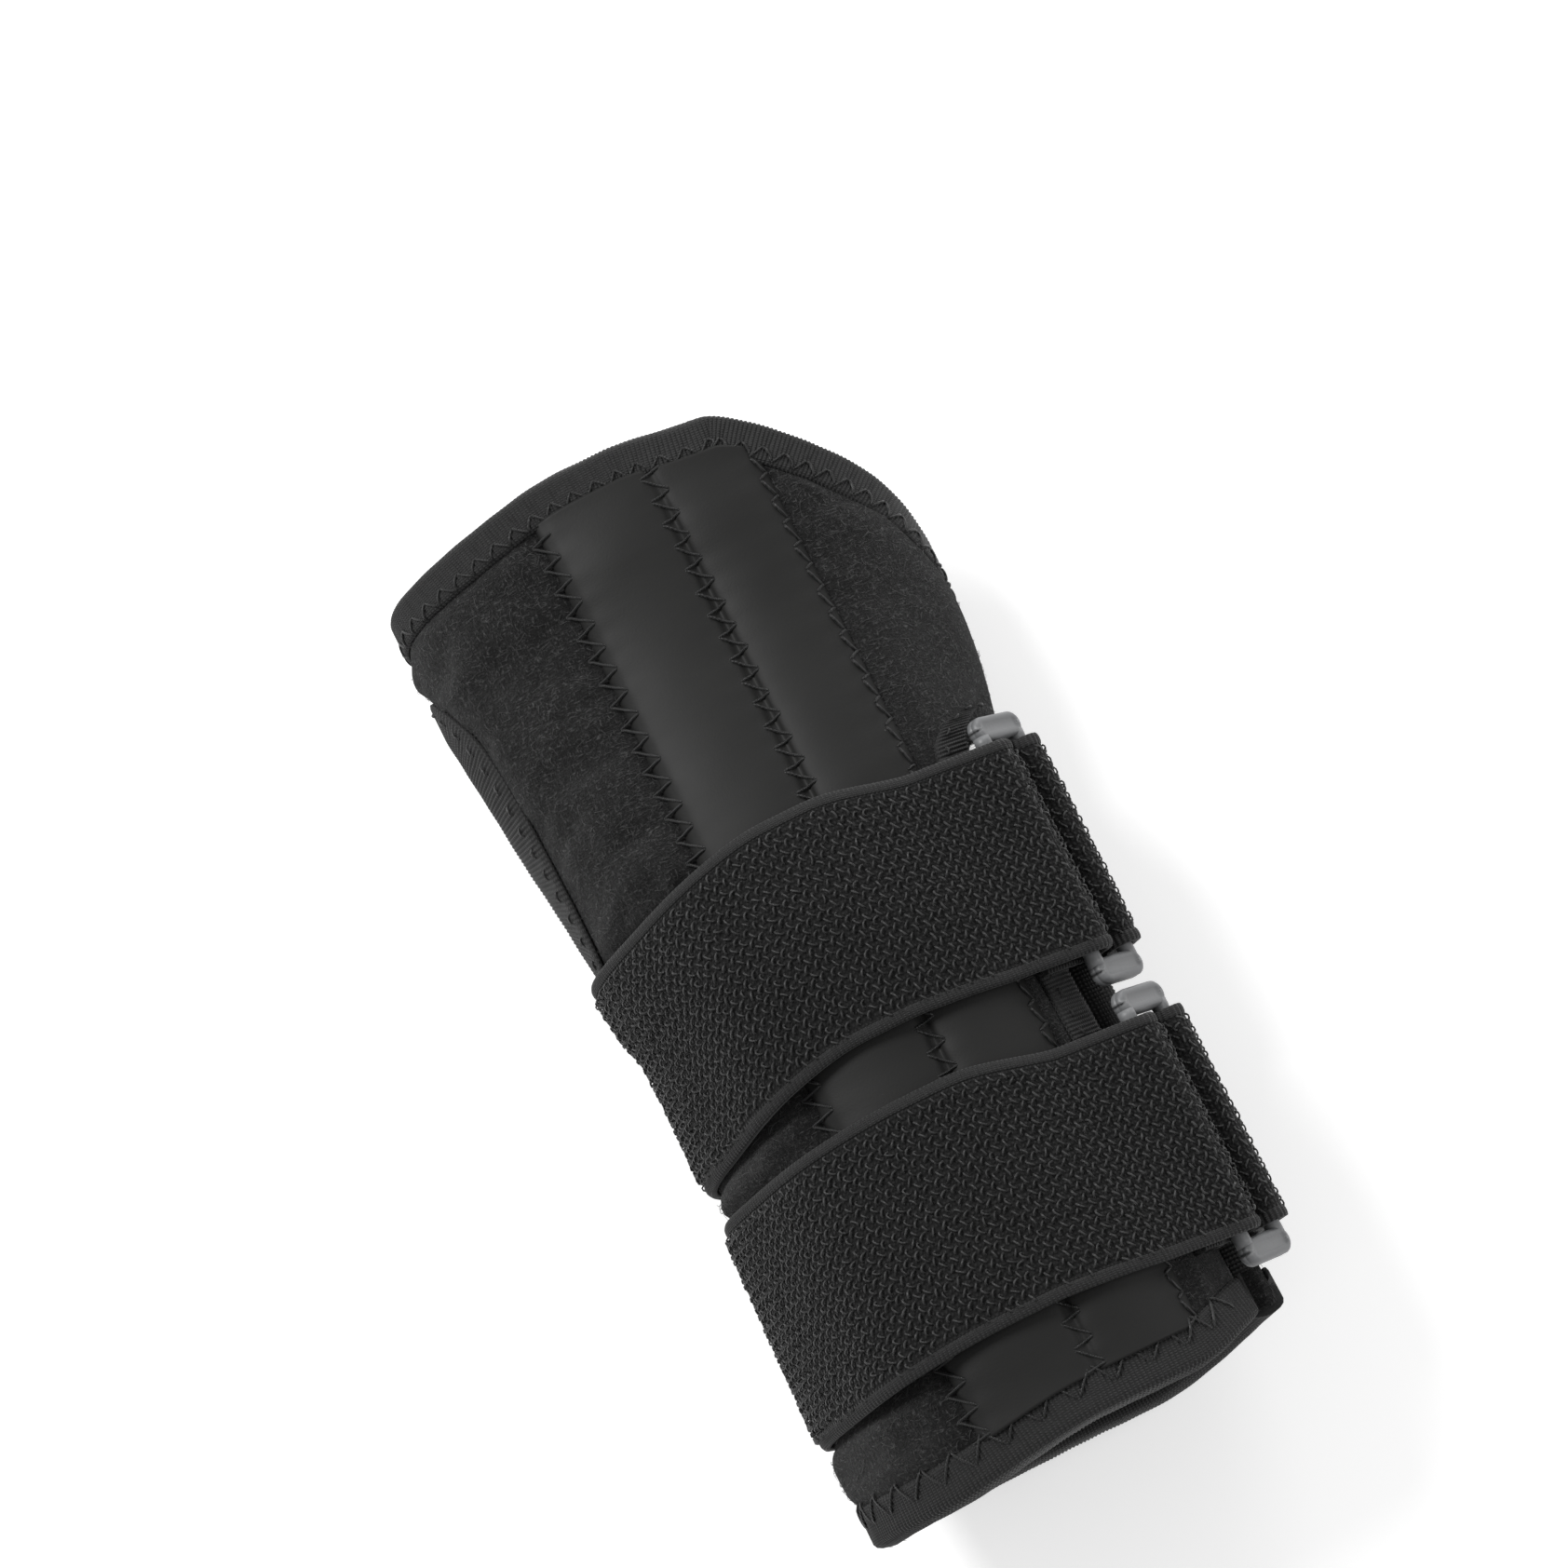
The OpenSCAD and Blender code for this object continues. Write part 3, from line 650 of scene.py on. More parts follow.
def coated_material():
    """Smooth rubbery coating with a faint grain, small wrinkles and a few specks of dust."""
    s = Shader("coated_cover")
    place = s.place()
    grain = s.noise(place, 2600.0, 3.0, 0.6)
    clouds = s.noise(place, 45.0, 4.0, 0.55)
    creases = s.noise(s.place((60, 220, 60)), 1.0, 4.0, 0.6)
    specks = s.cells(place, 230.0)
    colour = s.ramp(clouds, [(0.3, (0.0135, 0.0135, 0.0132)), (0.7, (0.0155, 0.0155, 0.015))])
    dust = s.ramp(specks, [(0.035, 1.0), (0.06, 0.0)])
    rare = s.ramp(s.noise(place, 160.0, 2.0), [(0.60, 0.0), (0.64, 1.0)])
    dusty = s.blend(s.math("MULTIPLY", dust, rare), colour, (0.12, 0.12, 0.12, 1))
    rough = s.ramp(clouds, [(0.3, 0.50), (0.7, 0.56)])
    relief = s.bump(grain, 0.00006, 0.5, s.bump(creases, 0.0004, 0.10))
    return s.finish(dusty, rough, relief, specular_ior_level=0.18)


def plastic_material():
    """Satin moulded plastic with a fine mould grain, a painted highlight along the sharp rims and slight scuffs."""
    s = Shader("ring_plastic")
    place = s.place()
    grain = s.noise(place, 1900.0, 2.0)
    scuffs = s.noise(s.place((90, 700, 90), (0, 0, 0.4)), 1.0, 4.0, 0.6)
    # Painted highlight: pointiness finds the sharp convex rims, and they are painted paler.
    rim_highlight_mask = s.node("ShaderNodeNewGeometry").outputs["Pointiness"]
    colour = s.ramp(scuffs, [(0.35, (0.130, 0.133, 0.137)), (0.70, (0.155, 0.158, 0.162))])
    highlighted_colour = s.blend(s.ramp(rim_highlight_mask, [(0.50, 0.0), (0.60, 0.5)]), colour, (0.22, 0.224, 0.228, 1))
    rough = s.ramp(scuffs, [(0.3, 0.36), (0.75, 0.52)])
    return s.finish(highlighted_colour, rough, s.bump(grain, 0.00008, 0.35), specular_ior_level=0.5)


def lining_material(name):
    """Soft brushed knit against the skin."""
    s = Shader(name)
    mesh_holes = s.cells(s.place((1, 1, 0.8)), 780.0)
    fuzz = s.noise(s.place(), 1300.0, 4.0, 0.7)
    base = s.ramp(mesh_holes, [(0.0, 0.006), (0.5, 0.02), (1.0, 0.034)])
    colour = s.blend(0.4, base, s.ramp(fuzz, [(0.4, 0.006), (0.75, 0.05)]))
    return s.finish(colour, 0.9, s.bump(mesh_holes, 0.0003, 0.7, s.bump(fuzz, 0.0003, 0.5)),
                    sheen_weight=0.2, specular_ior_level=0.15)


def foam_material():
    s = Shader("foam")
    cells = s.cells(s.place(), 1100.0)
    colour = s.ramp(cells, [(0.0, 0.02), (0.6, 0.06), (1.0, 0.10)])
    return s.finish(colour, 0.95, s.bump(cells, 0.0004, 0.9), specular_ior_level=0.2)


def metal_material(name, tone, scratch):
    s = Shader(name)
    lines = s.noise(s.place((900, 14, 900)), scratch, 4.0, 0.6)
    colour = s.ramp(lines, [(0.3, tone * 0.82), (0.7, tone)])
    rough = s.ramp(lines, [(0.3, 0.28), (0.7, 0.42)])
    return s.finish(colour, rough, s.bump(lines, 0.00005, 0.5), metallic=1.0)


def hook_material():
    s = Shader("hook_patch")
    grain = s.noise(s.place(), 1200.0, 3.0)
    rows = s.wave(s.place(), 100.0, 0.0, "X")
    colour = s.ramp(rows, [(0.0, 0.012), (1.0, 0.022)])
    return s.finish(colour, 0.5, s.bump(grain, 0.0001, 0.5), specular_ior_level=0.4)


FELT = felt_material("shell_felt")
GROUND = knit_material("strap_ground")
LOOPS = yarn_material("strap_loops", 0.009, 0.034, 0.5)
SELVAGE = tape_material("strap_selvage")
TAPE = tape_material("binding_tape")
THREAD = yarn_material("thread", 0.0012, 0.0045, 0.45)
FIBRES = yarn_material("shell_fibres", 0.012, 0.075, 0.6)
COATED = coated_material()
PLASTIC = plastic_material()
LINING = lining_material("lining")
TONGUE = lining_material("tongue_cloth")
HOOKS = hook_material()
FOAM = foam_material()
ALUMINIUM = metal_material("stay_aluminium", 0.72, 1.0)
SPRING = metal_material("stay_spring", 0.55, 2.0)

# ---- Camera: square to the palm, tipped back a little, with the arm lying from top left to bottom right
TARGET = Vector((0.0036, 0.0313, 0.030))
TILT = math.radians(11)
ROLL = math.radians(26.5)
SEEN_WIDTH = 0.2807
LENS, SENSOR = 100.0, 36.0


def add_camera():
    back = Vector((0, -math.sin(TILT), math.cos(TILT)))
    along = Vector((0, math.cos(TILT), math.sin(TILT)))
    right = Vector((1, 0, 0)) * math.cos(ROLL) - along * math.sin(ROLL)
    up = Vector((1, 0, 0)) * math.sin(ROLL) + along * math.cos(ROLL)
    data = bpy.data.cameras.new("camera")
    data.lens = LENS
    data.sensor_width = SENSOR
    data.clip_end = 20
    camera = bpy.data.objects.new("camera", data)
    camera.location = TARGET + back * (SEEN_WIDTH * LENS / SENSOR)
    turn = [[right[k], up[k], back[k]] for k in range(3)]
    camera.rotation_euler = Matrix(turn).to_euler()
    bpy.context.scene.collection.objects.link(camera)
    bpy.context.scene.camera = camera


add_camera()


# ---- The padded wrap: shell and foam in one padded piece, and the lining
def strap_centre_y(ys, angle):
    first = mix(ys[0], ys[1], smooth((angle - 30) / 50))
    second = mix(first, ys[2], smooth((angle - 95) / 80))
    return mix(second, ys[3], smooth((angle - 185) / 50))


def wrap_puff(y, angle):
    """How far the padding stands out between what holds it down."""
    degree = half_width(y) * math.pi / 180
    from_hand = (hand_edge(angle) - y) / np.sqrt(1 + edge_slope(hand_edge, angle)[0] ** 2)
    from_forearm = y - forearm_edge(angle)
    from_palmar = (angle - palmar_edge(y)) * degree
    from_dorsal = (dorsal_edge(y) - angle) * degree
    from_hole = hole_distance(y, angle)
    edge = np.minimum.reduce([from_hand, from_forearm, from_palmar, from_dorsal, from_hole])
    rise = 1.15 * (1 - np.exp(-np.clip(edge - TAPE_WIDTH + 0.6, 0, None) / 3.0))
    x = reach(y, angle, 0.0) * cosd(angle)
    palm_side = smooth((angle - 20) / 20) * (1 - smooth((angle - 140) / 20))
    from_cover = np.maximum(COVER_LEFT - x, x - COVER_RIGHT)
    rise *= 1 - palm_side * (1 - smooth(from_cover / 5.0))
    for ys, _ in STRAPS.values():
        half = STRAP_WIDTH / 2
        off = np.abs(y - strap_centre_y(ys, angle)) - half
        squeezed = 1 - smooth((off + 1.5) / 6.0)
        rise -= squeezed * (rise + 0.25) * smooth((angle - 28) / 14)
    dorsal = smooth((angle - 225) / 15) * (1 - smooth((angle - 312) / 12))
    return rise * (1 - 0.8 * dorsal)


def wrap_detail(grid, y, angle):
    """Soft creases of the used cloth: across the arm at the wrist, round the thumb web and at the edges."""
    slow = waves(grid, 34.0, 3) * 0.30
    fine = waves(grid, 11.0, 5) * 0.12
    crease = np.sin(y * 0.9 + 2.2 * np.sin(angle * 0.07)) * 0.10 * smooth(1 - np.abs(y - 78) / 30)
    web = np.exp(-(hole_distance(y, angle) - 14) ** 2 / 80) * np.sin(hole_distance(y, angle) * 0.7) * 0.22
    return slow + fine + crease + web


WRAP_COLUMNS, WRAP_ROWS = 250, 194
HOLE_CLEAR = 0.4


def wrap_grid(depth, columns=WRAP_COLUMNS, rows=WRAP_ROWS):
    share, row = np.meshgrid(np.linspace(0, 1, columns), np.linspace(0, 1, rows), indexing="ij")
    y, angle = wrap_spot(share, row)
    return wrap_point(y, angle, depth), y, angle


def kept_cells(y, angle):
    """Cells outside the thumb hole."""
    inside = hole_distance(y, angle) < HOLE_CLEAR
    return ~(inside[:-1, :-1] | inside[1:, :-1] | inside[:-1, 1:] | inside[1:, 1:])


CLOTH = {"vertex_group_mass": "pin", "use_pressure": True, "uniform_pressure_force": 4.0, "quality": 4,
         "mass": 0.2, "tension_stiffness": 12, "compression_stiffness": 6, "bending_stiffness": 0.6,
         "shrink_min": -0.02}
CLOTH_FRAMES, CLOTH_CAP = 20, 0.0025
COARSE = (76, 60)


def settle_cloth(piece, pinned):
    """How far the padding swells as cloth between its pinned places, in metres. The move is capped."""
    start = read_points(piece.data)
    group = piece.vertex_groups.new(name="pin")
    for weight in np.unique(np.round(pinned, 1)):
        chosen = np.nonzero(np.round(pinned, 1) == weight)[0]
        group.add([int(k) for k in chosen], float(weight), "REPLACE")
    cloth = piece.modifiers.new("settle", "CLOTH")
    for key, value in CLOTH.items():
        setattr(cloth.settings, key, value)
    cloth.settings.effector_weights.gravity = 0
    cloth.collision_settings.use_collision = False
    cloth.point_cache.frame_start = 1
    cloth.point_cache.frame_end = CLOTH_FRAMES
    for step in range(1, CLOTH_FRAMES + 1):
        bpy.context.scene.frame_set(step)
    shown = piece.evaluated_get(bpy.context.evaluated_depsgraph_get())
    move = read_points(shown.data) - start
    piece.modifiers.remove(cloth)
    piece.vertex_groups.remove(group)
    bpy.context.scene.frame_set(1)
    far = np.linalg.norm(move, axis=1, keepdims=True)
    return move * np.minimum(1.0, CLOTH_CAP / np.maximum(far, 1e-9))


def swelling(columns, rows):
    """How far simulated cloth swells outwards over the wrap, as a grid of millimetres."""
    grid, y, angle = wrap_grid(0.0, columns, rows)
    keep = kept_cells(y, angle)
    at = np.arange(columns * rows).reshape(columns, rows)
    quads = np.stack([at[:-1, :-1], at[:-1, 1:], at[1:, 1:], at[1:, :-1]], -1)[keep]
    sheet = add_mesh("swelling", grid, quads, FELT, body=None, outward=False)
    used = np.unique(quads)
    held = 1 - smooth(wrap_puff(y, angle) / 0.9)
    move = settle_cloth(sheet, held.ravel()[used])
    normals = grid_normals(grid).reshape(-1, 3)[used]
    out = np.zeros(columns * rows)
    outward = np.einsum("ij,ij->i", move, normals) / MM
    row = y.ravel()[used]
    from_middle = grid.reshape(-1, 3)[used] - np.stack([0 * used, row, centre_z(row)], -1)
    outward *= np.sign(np.einsum("ij,ij->i", normals, from_middle))
    out[used] = outward
    bpy.data.objects.remove(sheet)
    return out.reshape(columns, rows)


def add_wrap():
    grid, y, angle = wrap_grid(0.0)
    lift = wrap_puff(y, angle)
    free = unit(lift / 0.6)
    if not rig.quick():
        swell = swelling(*COARSE)
        i, j = np.meshgrid(np.linspace(0, COARSE[0] - 1, WRAP_COLUMNS), np.linspace(0, COARSE[1] - 1, WRAP_ROWS),
                           indexing="ij")
        lift = lift + np.clip(sample(swell[..., None], i, j)[..., 0], -0.3, 0.8) * free
    lift = lift + wrap_detail(grid, y, angle) * free
    outer = wrap_point(y, angle, lift)
    inner = wrap_point(y, angle, FOAM_IN)
    keep = kept_cells(y, angle)
    flat = np.stack([angle * 0.7, y], -1)
    body = slab("padded_shell", outer, inner, FELT, flat, keep, nodes=("outer_shell",), slot="shell_felt")
    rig.padded(body, fill=0.6)
    lining_out = wrap_point(y, angle, LINING_OUT)
    give = 0.12 * waves(grid, 16.0, 9)
    lining_in = wrap_point(y, angle, WALL + give)
    slab("lining_cloth", lining_out, lining_in, LINING, flat, keep, nodes=("inner_lining",), slot="lining")
    return body


padded_shell = add_wrap()


# ---- Fibres brushed out of the shell's face, lying nearly flat and mostly across the arm
FIBRE_COUNT = 7000


def add_fibres(shell):
    rng = np.random.default_rng(23)
    half = len(shell.data.vertices) // 2
    co = read_points(shell.data)[:half] / MM - SHIFT
    normal = read_points(shell.data, "normal")[:half]
    pick = rng.integers(0, half, FIBRE_COUNT)
    root, up = co[pick] + rng.normal(0, 0.3, (FIBRE_COUNT, 3)), normal[pick]
    way = np.cross(up, [0.0, 1.0, 0.0]) + rng.normal(0, 0.55, (FIBRE_COUNT, 3))
    way -= up * np.einsum("ij,ij->i", way, up)[:, None]
    way /= np.linalg.norm(way, axis=1, keepdims=True)
    root -= up * np.einsum("ij,ij->i", root - co[pick], up)[:, None]
    side = np.cross(up, way)
    t = np.linspace(0, 1, 4)[None, :, None]
    long = rng.uniform(0.9, 2.3, FIBRE_COUNT)[:, None, None]
    curl = rng.normal(0, 0.35, FIBRE_COUNT)[:, None, None]
    height = rng.uniform(0.12, 0.38, FIBRE_COUNT)[:, None, None]
    paths = (root[:, None] + way[:, None] * long * t + side[:, None] * curl * long * t ** 2
             + up[:, None] * (height * np.sin(math.pi * t) ** 0.7 - 0.02))
    ups = np.broadcast_to(up[:, None], paths.shape)
    add_tubes("shell_fibres", paths, ups, 0.045, FIBRES, 4, slot="shell_felt")


add_fibres(padded_shell)

# ---- Edge tapes: a ribbed strip folded over the edge
RIB_DEPTH = 0.11


def tape_section():
    """Points (inwards from the edge, outside the shell's face) round the folded tape, with their outward ways."""
    leg = np.linspace(TAPE_WIDTH, 0.3, 9)
    top = [(TAPE_WIDTH + 0.05, TAPE_GAP + 0.1), *((p, TAPE_OUT - 0.25 * (p > 6)) for p in leg)]
    bend = [(-TAPE_FOLD * sind(a) * 0.98 + 0.2 * cosd(a), mix(WALL / 2, TAPE_OUT, cosd(a)))
            for a in (25, 50, 75, 90)]
    outside = top + bend
    other = [(p, WALL - d) for p, d in outside[::-1][1:]]
    inside = [(TAPE_WIDTH - 0.3, WALL - TAPE_GAP), (2.0, WALL - TAPE_GAP), (-0.4, WALL - TAPE_GAP),
              (-0.55, WALL / 2), (-0.4, TAPE_GAP), (2.0, TAPE_GAP), (TAPE_WIDTH - 0.3, TAPE_GAP)]
    ring = np.array(outside + other + inside)
    count = len(outside) + len(other)
    middle = np.array([2.5, WALL / 2])
    out = np.zeros_like(ring)
    way = ring[:count] - middle
    out[:count, 0] = np.where(ring[:count, 0] < 0.3, way[:, 0], 0)
    out[:count, 1] = np.sign(way[:, 1]) * (np.abs(way[:, 1]) > 1.5)
    size = np.maximum(np.linalg.norm(out, axis=1, keepdims=True), 1e-9)
    return ring, out / size * (size > 1e-6)


def add_tape(name, place, pucker, under=0.0, closed=False):
    """place(share, inwards, out) gives points; share runs from 0 to 1 along the tape."""
    ring, way = tape_section()
    length = place_length(place)
    count = int(length / RIB_PITCH * 4)
    share = np.linspace(0, 1, count, endpoint=not closed)[:, None]
    gone = share * length
    rib = RIB_DEPTH * np.cos(2 * math.pi * gone / RIB_PITCH)
    press = 0.22 * np.exp(-(((gone / pucker) % 1 - 0.5) * pucker / 0.8) ** 2)
    wander = 0.10 * np.sin(gone * 0.31 + 1.0) + 0.06 * np.sin(gone * 0.83)
    leg = np.exp(-((ring[:, 0] - 3.6) / 1.6) ** 2)
    lift = (rib + wander * 0.4 - press * leg)
    p = ring[:, 0] + way[:, 0] * lift + wander * (ring[:, 0] > 3) * 0.6
    d = ring[:, 1] + way[:, 1] * lift - under * (ring[:, 1] < WALL)
    points = place(share + 0 * p, p, d)
    sides = points.shape[1]
    add_mesh(name + "_tape", points, tube_quads(count, sides, closed), TAPE, spread(gone, np.arange(sides) * 0.6),
             nodes=(name + "_binding",), slot="binding_tape")


def evened(place):
    """The same place with its shares spread evenly along the edge."""
    share = np.linspace(0, 1, 900)
    steps = np.linalg.norm(np.diff(place(share, 0.0, 0.0), axis=0), axis=1)
    gone = np.concatenate([[0], np.cumsum(steps)]) / steps.sum()
    return lambda s, p, d: place(np.interp(s, gone, share), p, d)


def end_place(end):
    """The tape round one end of the wrap. Its section stands square to the edge."""
    inward = 1 if end == 0 else -1
    edge = forearm_edge if end == 0 else hand_edge

    def place(share, p, d):
        y, angle = wrap_spot(share, end)
        slope, degree = edge_slope(edge, angle)
        size = np.sqrt(1 + slope ** 2)
        return wrap_point(y + inward * p / size, angle - inward * p * slope / size / degree, d)
    return evened(place)


def opening_place(side_share, first, last):
    side = 1 if side_share == 0 else -1

    def place(share, p, d):
        y, angle = wrap_spot(float(side_share), mix(first, last, share))
        return wrap_point(y, angle + side * p / half_width(y) * 180 / math.pi, d)
    return evened(place)


@evened
def hole_place(share, p, d):
    y, angle = hole_spot(share * 360, p)
    return wrap_point(y, angle, d)


def place_length(place):
    return path_length(place(np.linspace(0, 1, 200), 0.0, 0.0))


HAND_PLACE, FOREARM_PLACE = end_place(1), end_place(0)
PALMAR_PLACE, DORSAL_PLACE = opening_place(0, 0.07, 0.93), opening_place(1, 0.045, 0.95)
add_tape("hand_edge", HAND_PLACE, 4.2)
add_tape("forearm_edge", FOREARM_PLACE, 6.6)
add_tape("palmar_opening", PALMAR_PLACE, 4.0)
add_tape("dorsal_opening", DORSAL_PLACE, 4.0)
add_tape("thumb_hole", hole_place, 4.0, 0.7, closed=True)


# ---- The coated cover over the palmar stays
COVER_THICKNESS, COVER_CROWN = 1.0, 2.0
SEAM_PITCH = 4.7


def channel(x, low, high):
    across = unit((x - low - 0.6) / (high - low - 1.2))
    return np.clip(np.sin(math.pi * across), 0, 1) ** 0.42


def cover_ends(x):
    low, high = np.degrees(np.arctan2(28.0, x)), np.degrees(np.arctan2(18.0, x))
    return forearm_edge(low) + TAPE_WIDTH - 0.8, hand_edge(high) - TAPE_WIDTH + 0.8


def cover_height(x, y):
    """Height of the cover's underside over the shell."""
    crown = np.where(x < COVER_SEAM, channel(x, COVER_LEFT, COVER_SEAM), channel(x, COVER_SEAM, COVER_RIGHT))
    low, high = cover_ends(x)
    ends = smooth((y - low - 1) / 14) * smooth((high - y - 1) / 14)
    rise = 0.1 + COVER_CROWN * crown * (0.35 + 0.65 * ends)
    for line in (COVER_LEFT + 1.2, COVER_SEAM, COVER_RIGHT - 1.2):
        near = np.exp(-np.abs(x - line) / 2.6)
        rise = rise + 0.06 * near * np.sin(2 * math.pi * y / SEAM_PITCH)
        rise = rise - 0.20 * np.exp(-((x - line) / 1.1) ** 2)
    return rise


def add_cover():
    x = np.linspace(COVER_RIGHT, COVER_LEFT, 110)[:, None]
    row = np.linspace(0, 1, 380)[None, :]
    low, high = cover_ends(x)
    y = mix(low, high, row)
    edge = np.minimum(COVER_RIGHT - x, x - COVER_LEFT) + 0 * y
    rise = cover_height(x + 0 * y, y)
    turned = -0.5 * np.exp(-edge / 0.35)
    base = palm_point(x, y, rise)
    sag = 0.14 * waves(base, 26.0, 21) + 0.025 * waves(base, 8.0, 22)
    outer = palm_point(x, y, rise + COVER_THICKNESS + turned + sag)
    inner = palm_point(x, y, rise)
    piece = slab("coated_cover", outer, inner, COATED, spread(x, y), nodes=("palm_stay_cover",),
                 slot="coated_cover")
    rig.sheet(piece, flat=(0.0470, 0.1820), held="stretched", rests_on=["palm_stay", "palm_side_stay"])


add_cover()


# ---- Sewing: each stitch rises out of the cloth, lies on it and goes down again
STITCH_LIFT, STITCH_SINK, STITCH_POINTS = 0.28, 0.35, 7
ZIGZAG_LEAN = 0.18


def stitch_paths(ends_a, ends_b, surface):
    """Arched threads from each ends_a to each ends_b. surface(u, v, d) gives points from flat places."""
    t = np.linspace(0, 1, STITCH_POINTS)
    arch = np.clip(np.sin(math.pi * t), 0, 1) ** 0.35 * (STITCH_LIFT + STITCH_SINK) - STITCH_SINK
    u = mix(ends_a[:, 0][:, None], ends_b[:, 0][:, None], t)
    v = mix(ends_a[:, 1][:, None], ends_b[:, 1][:, None], t)
    here = surface(u, v, arch[None, :] + 0 * u)
    above = surface(u, v, arch[None, :] + 1.0 + 0 * u)
    return here, above - here


def zigzag_ends(middle, width, start, stop, pitch):
    """Corners of a zigzag along v: one leg nearly square to the row and one slanted."""
    count = int((stop - start) / pitch) + 1
    v = start + np.arange(count) * pitch
    left = np.stack([np.full(count, middle - width / 2), v], -1)
    right = np.stack([np.full(count, middle + width / 2), v + pitch * ZIGZAG_LEAN], -1)
    wobble = RNG.normal(0, 0.09, size=(count, 2))
    left, right = left + wobble, right - wobble
    return np.concatenate([left, right[:-1]]), np.concatenate([right, left[1:]])


def cover_surface(x, y, d):
    inside = (x > COVER_LEFT) & (x < COVER_RIGHT)
    return palm_point(x, y, np.where(inside, cover_height(x, y) + COVER_THICKNESS, 0.6) + d)


def add_sewing(name, rows, radius, node):
    """rows holds each row's thread paths and upward ways."""
    paths, ups = (np.concatenate(part) for part in zip(*rows))
    add_tubes(name, paths, ups, radius, THREAD, nodes=(node,), slot="thread")


def add_cover_stitching():
    rows = []
    for middle, width in ((COVER_LEFT + 0.4, 4.4), (COVER_SEAM, 4.4), (COVER_RIGHT - 0.9, 1.4)):
        low, high = cover_ends(np.array(middle))
        corners = zigzag_ends(middle, width, float(low) + 0.3, float(high) + 0.6, SEAM_PITCH)
        rows.append(stitch_paths(*corners, cover_surface))
    add_sewing("cover_zigzags", rows, 0.27, "cover_stitching")


add_cover_stitching()


def tape_stitches(place, pitch, width, middle):
    """Stitches on a tape's outer leg as arched threads: a zigzag, or short straight stitches where width is 0."""
    length = place_length(place)
    count = int(length / pitch) - 1
    gone = (np.arange(count) + 0.7) * pitch
    if width == 0:
        a = np.stack([gone, np.full(count, middle)], -1)
        b = np.stack([gone + 1.8, np.full(count, middle + 0.15)], -1)
    else:
        low = np.stack([gone, np.full(count, middle - width / 2)], -1)
        high = np.stack([gone + pitch * 0.45, np.full(count, middle + width / 2)], -1)
        a = np.concatenate([low, high[:-1]])
        b = np.concatenate([high, low[1:]])

    def surface(u, v, d):
        return place(u / length, v, TAPE_OUT - 0.05 + d)
    return stitch_paths(a, b, surface)


def add_tape_stitching():
    rows = [tape_stitches(HAND_PLACE, 4.2, 2.6, 5.0), tape_stitches(FOREARM_PLACE, 6.6, 4.6, 5.2)]
    rows += [tape_stitches(place, 4.0, 0, 4.6) for place in (hole_place, PALMAR_PLACE, DORSAL_PLACE)]
    add_sewing("tape_stitches", rows, 0.24, "binding_stitching")


add_tape_stitching()


def add_loose_thread():
    """A short thread tail on the cover near the forearm end."""
    t = np.linspace(0, 1, 24)
    x = 3.5 - 6.0 * t + 0.8 * np.sin(t * 5)
    y = 26.0 + 4.5 * t - 0.9 * np.sin(t * 4)
    d = 0.15 + 0.6 * np.sin(t * math.pi)
    here = cover_surface(x, y, d)[None]
    up = cover_surface(x, y, d + 1)[None] - here
    add_tubes("thread_tail", here, up, 0.2, THREAD, slot="thread")


add_loose_thread()


# ---- Rings
def ring_bars(ys, out):
    """The middles of the inner and the outer bar, as (x, z)."""
    y = np.array(ys[0])
    inner = np.array([float(half_width(y)) + out, float(centre_z(y)) + RING_RISE * float(half_height(y))])
    return inner, inner + RING_PITCH * np.array([cosd(RING_SLOPE), sind(RING_SLOPE)])


def rounded_outline(low, high, depth, radius):
    """A rounded rectangle from low to high in x and from 0 to depth in y."""
    corners = [(high - radius, depth - radius, 0), (low + radius, depth - radius, 90),
               (low + radius, radius, 180), (high - radius, radius, 270)]
    return np.array([(cx + radius * cosd(a + t), cy + radius * sind(a + t))
                     for cx, cy, a in corners for t in np.linspace(0, 90, 8)])


def ring_end_plate(side):
    """A ring's flat moulded end with rounded rims, a parting line and a shallow thumb slot, as rings of points."""
    half = 1.5
    levels = [(-half, 0.75), (-half + 0.12, 0.42), (-half + 0.4, 0.14), (-half + 0.75, 0.0), (-0.12, 0.0),
              (-0.04, 0.07), (0.04, 0.07), (0.12, 0.0), (half - 0.75, 0.0), (half - 0.4, 0.14),
              (half - 0.12, 0.42), (half, 0.75), (half - 0.02, 1.3), (half - 0.28, 1.55)]
    rings = []
    for z, inset in levels:
        outline = rounded_outline(-RING_BAR + inset, RING_PITCH + RING_BAR - inset, RING_END - 2 * inset,
                                  max(2.4 - inset, 0.35))
        rings.append(np.stack([outline[:, 0], outline[:, 1] + inset, np.full(len(outline), z)], -1))
    rings = np.array(rings)
    straight = (RING_LENGTH - 2 * RING_END) / 2
    rings[..., 1] = side * (rings[..., 1] + straight)
    return rings


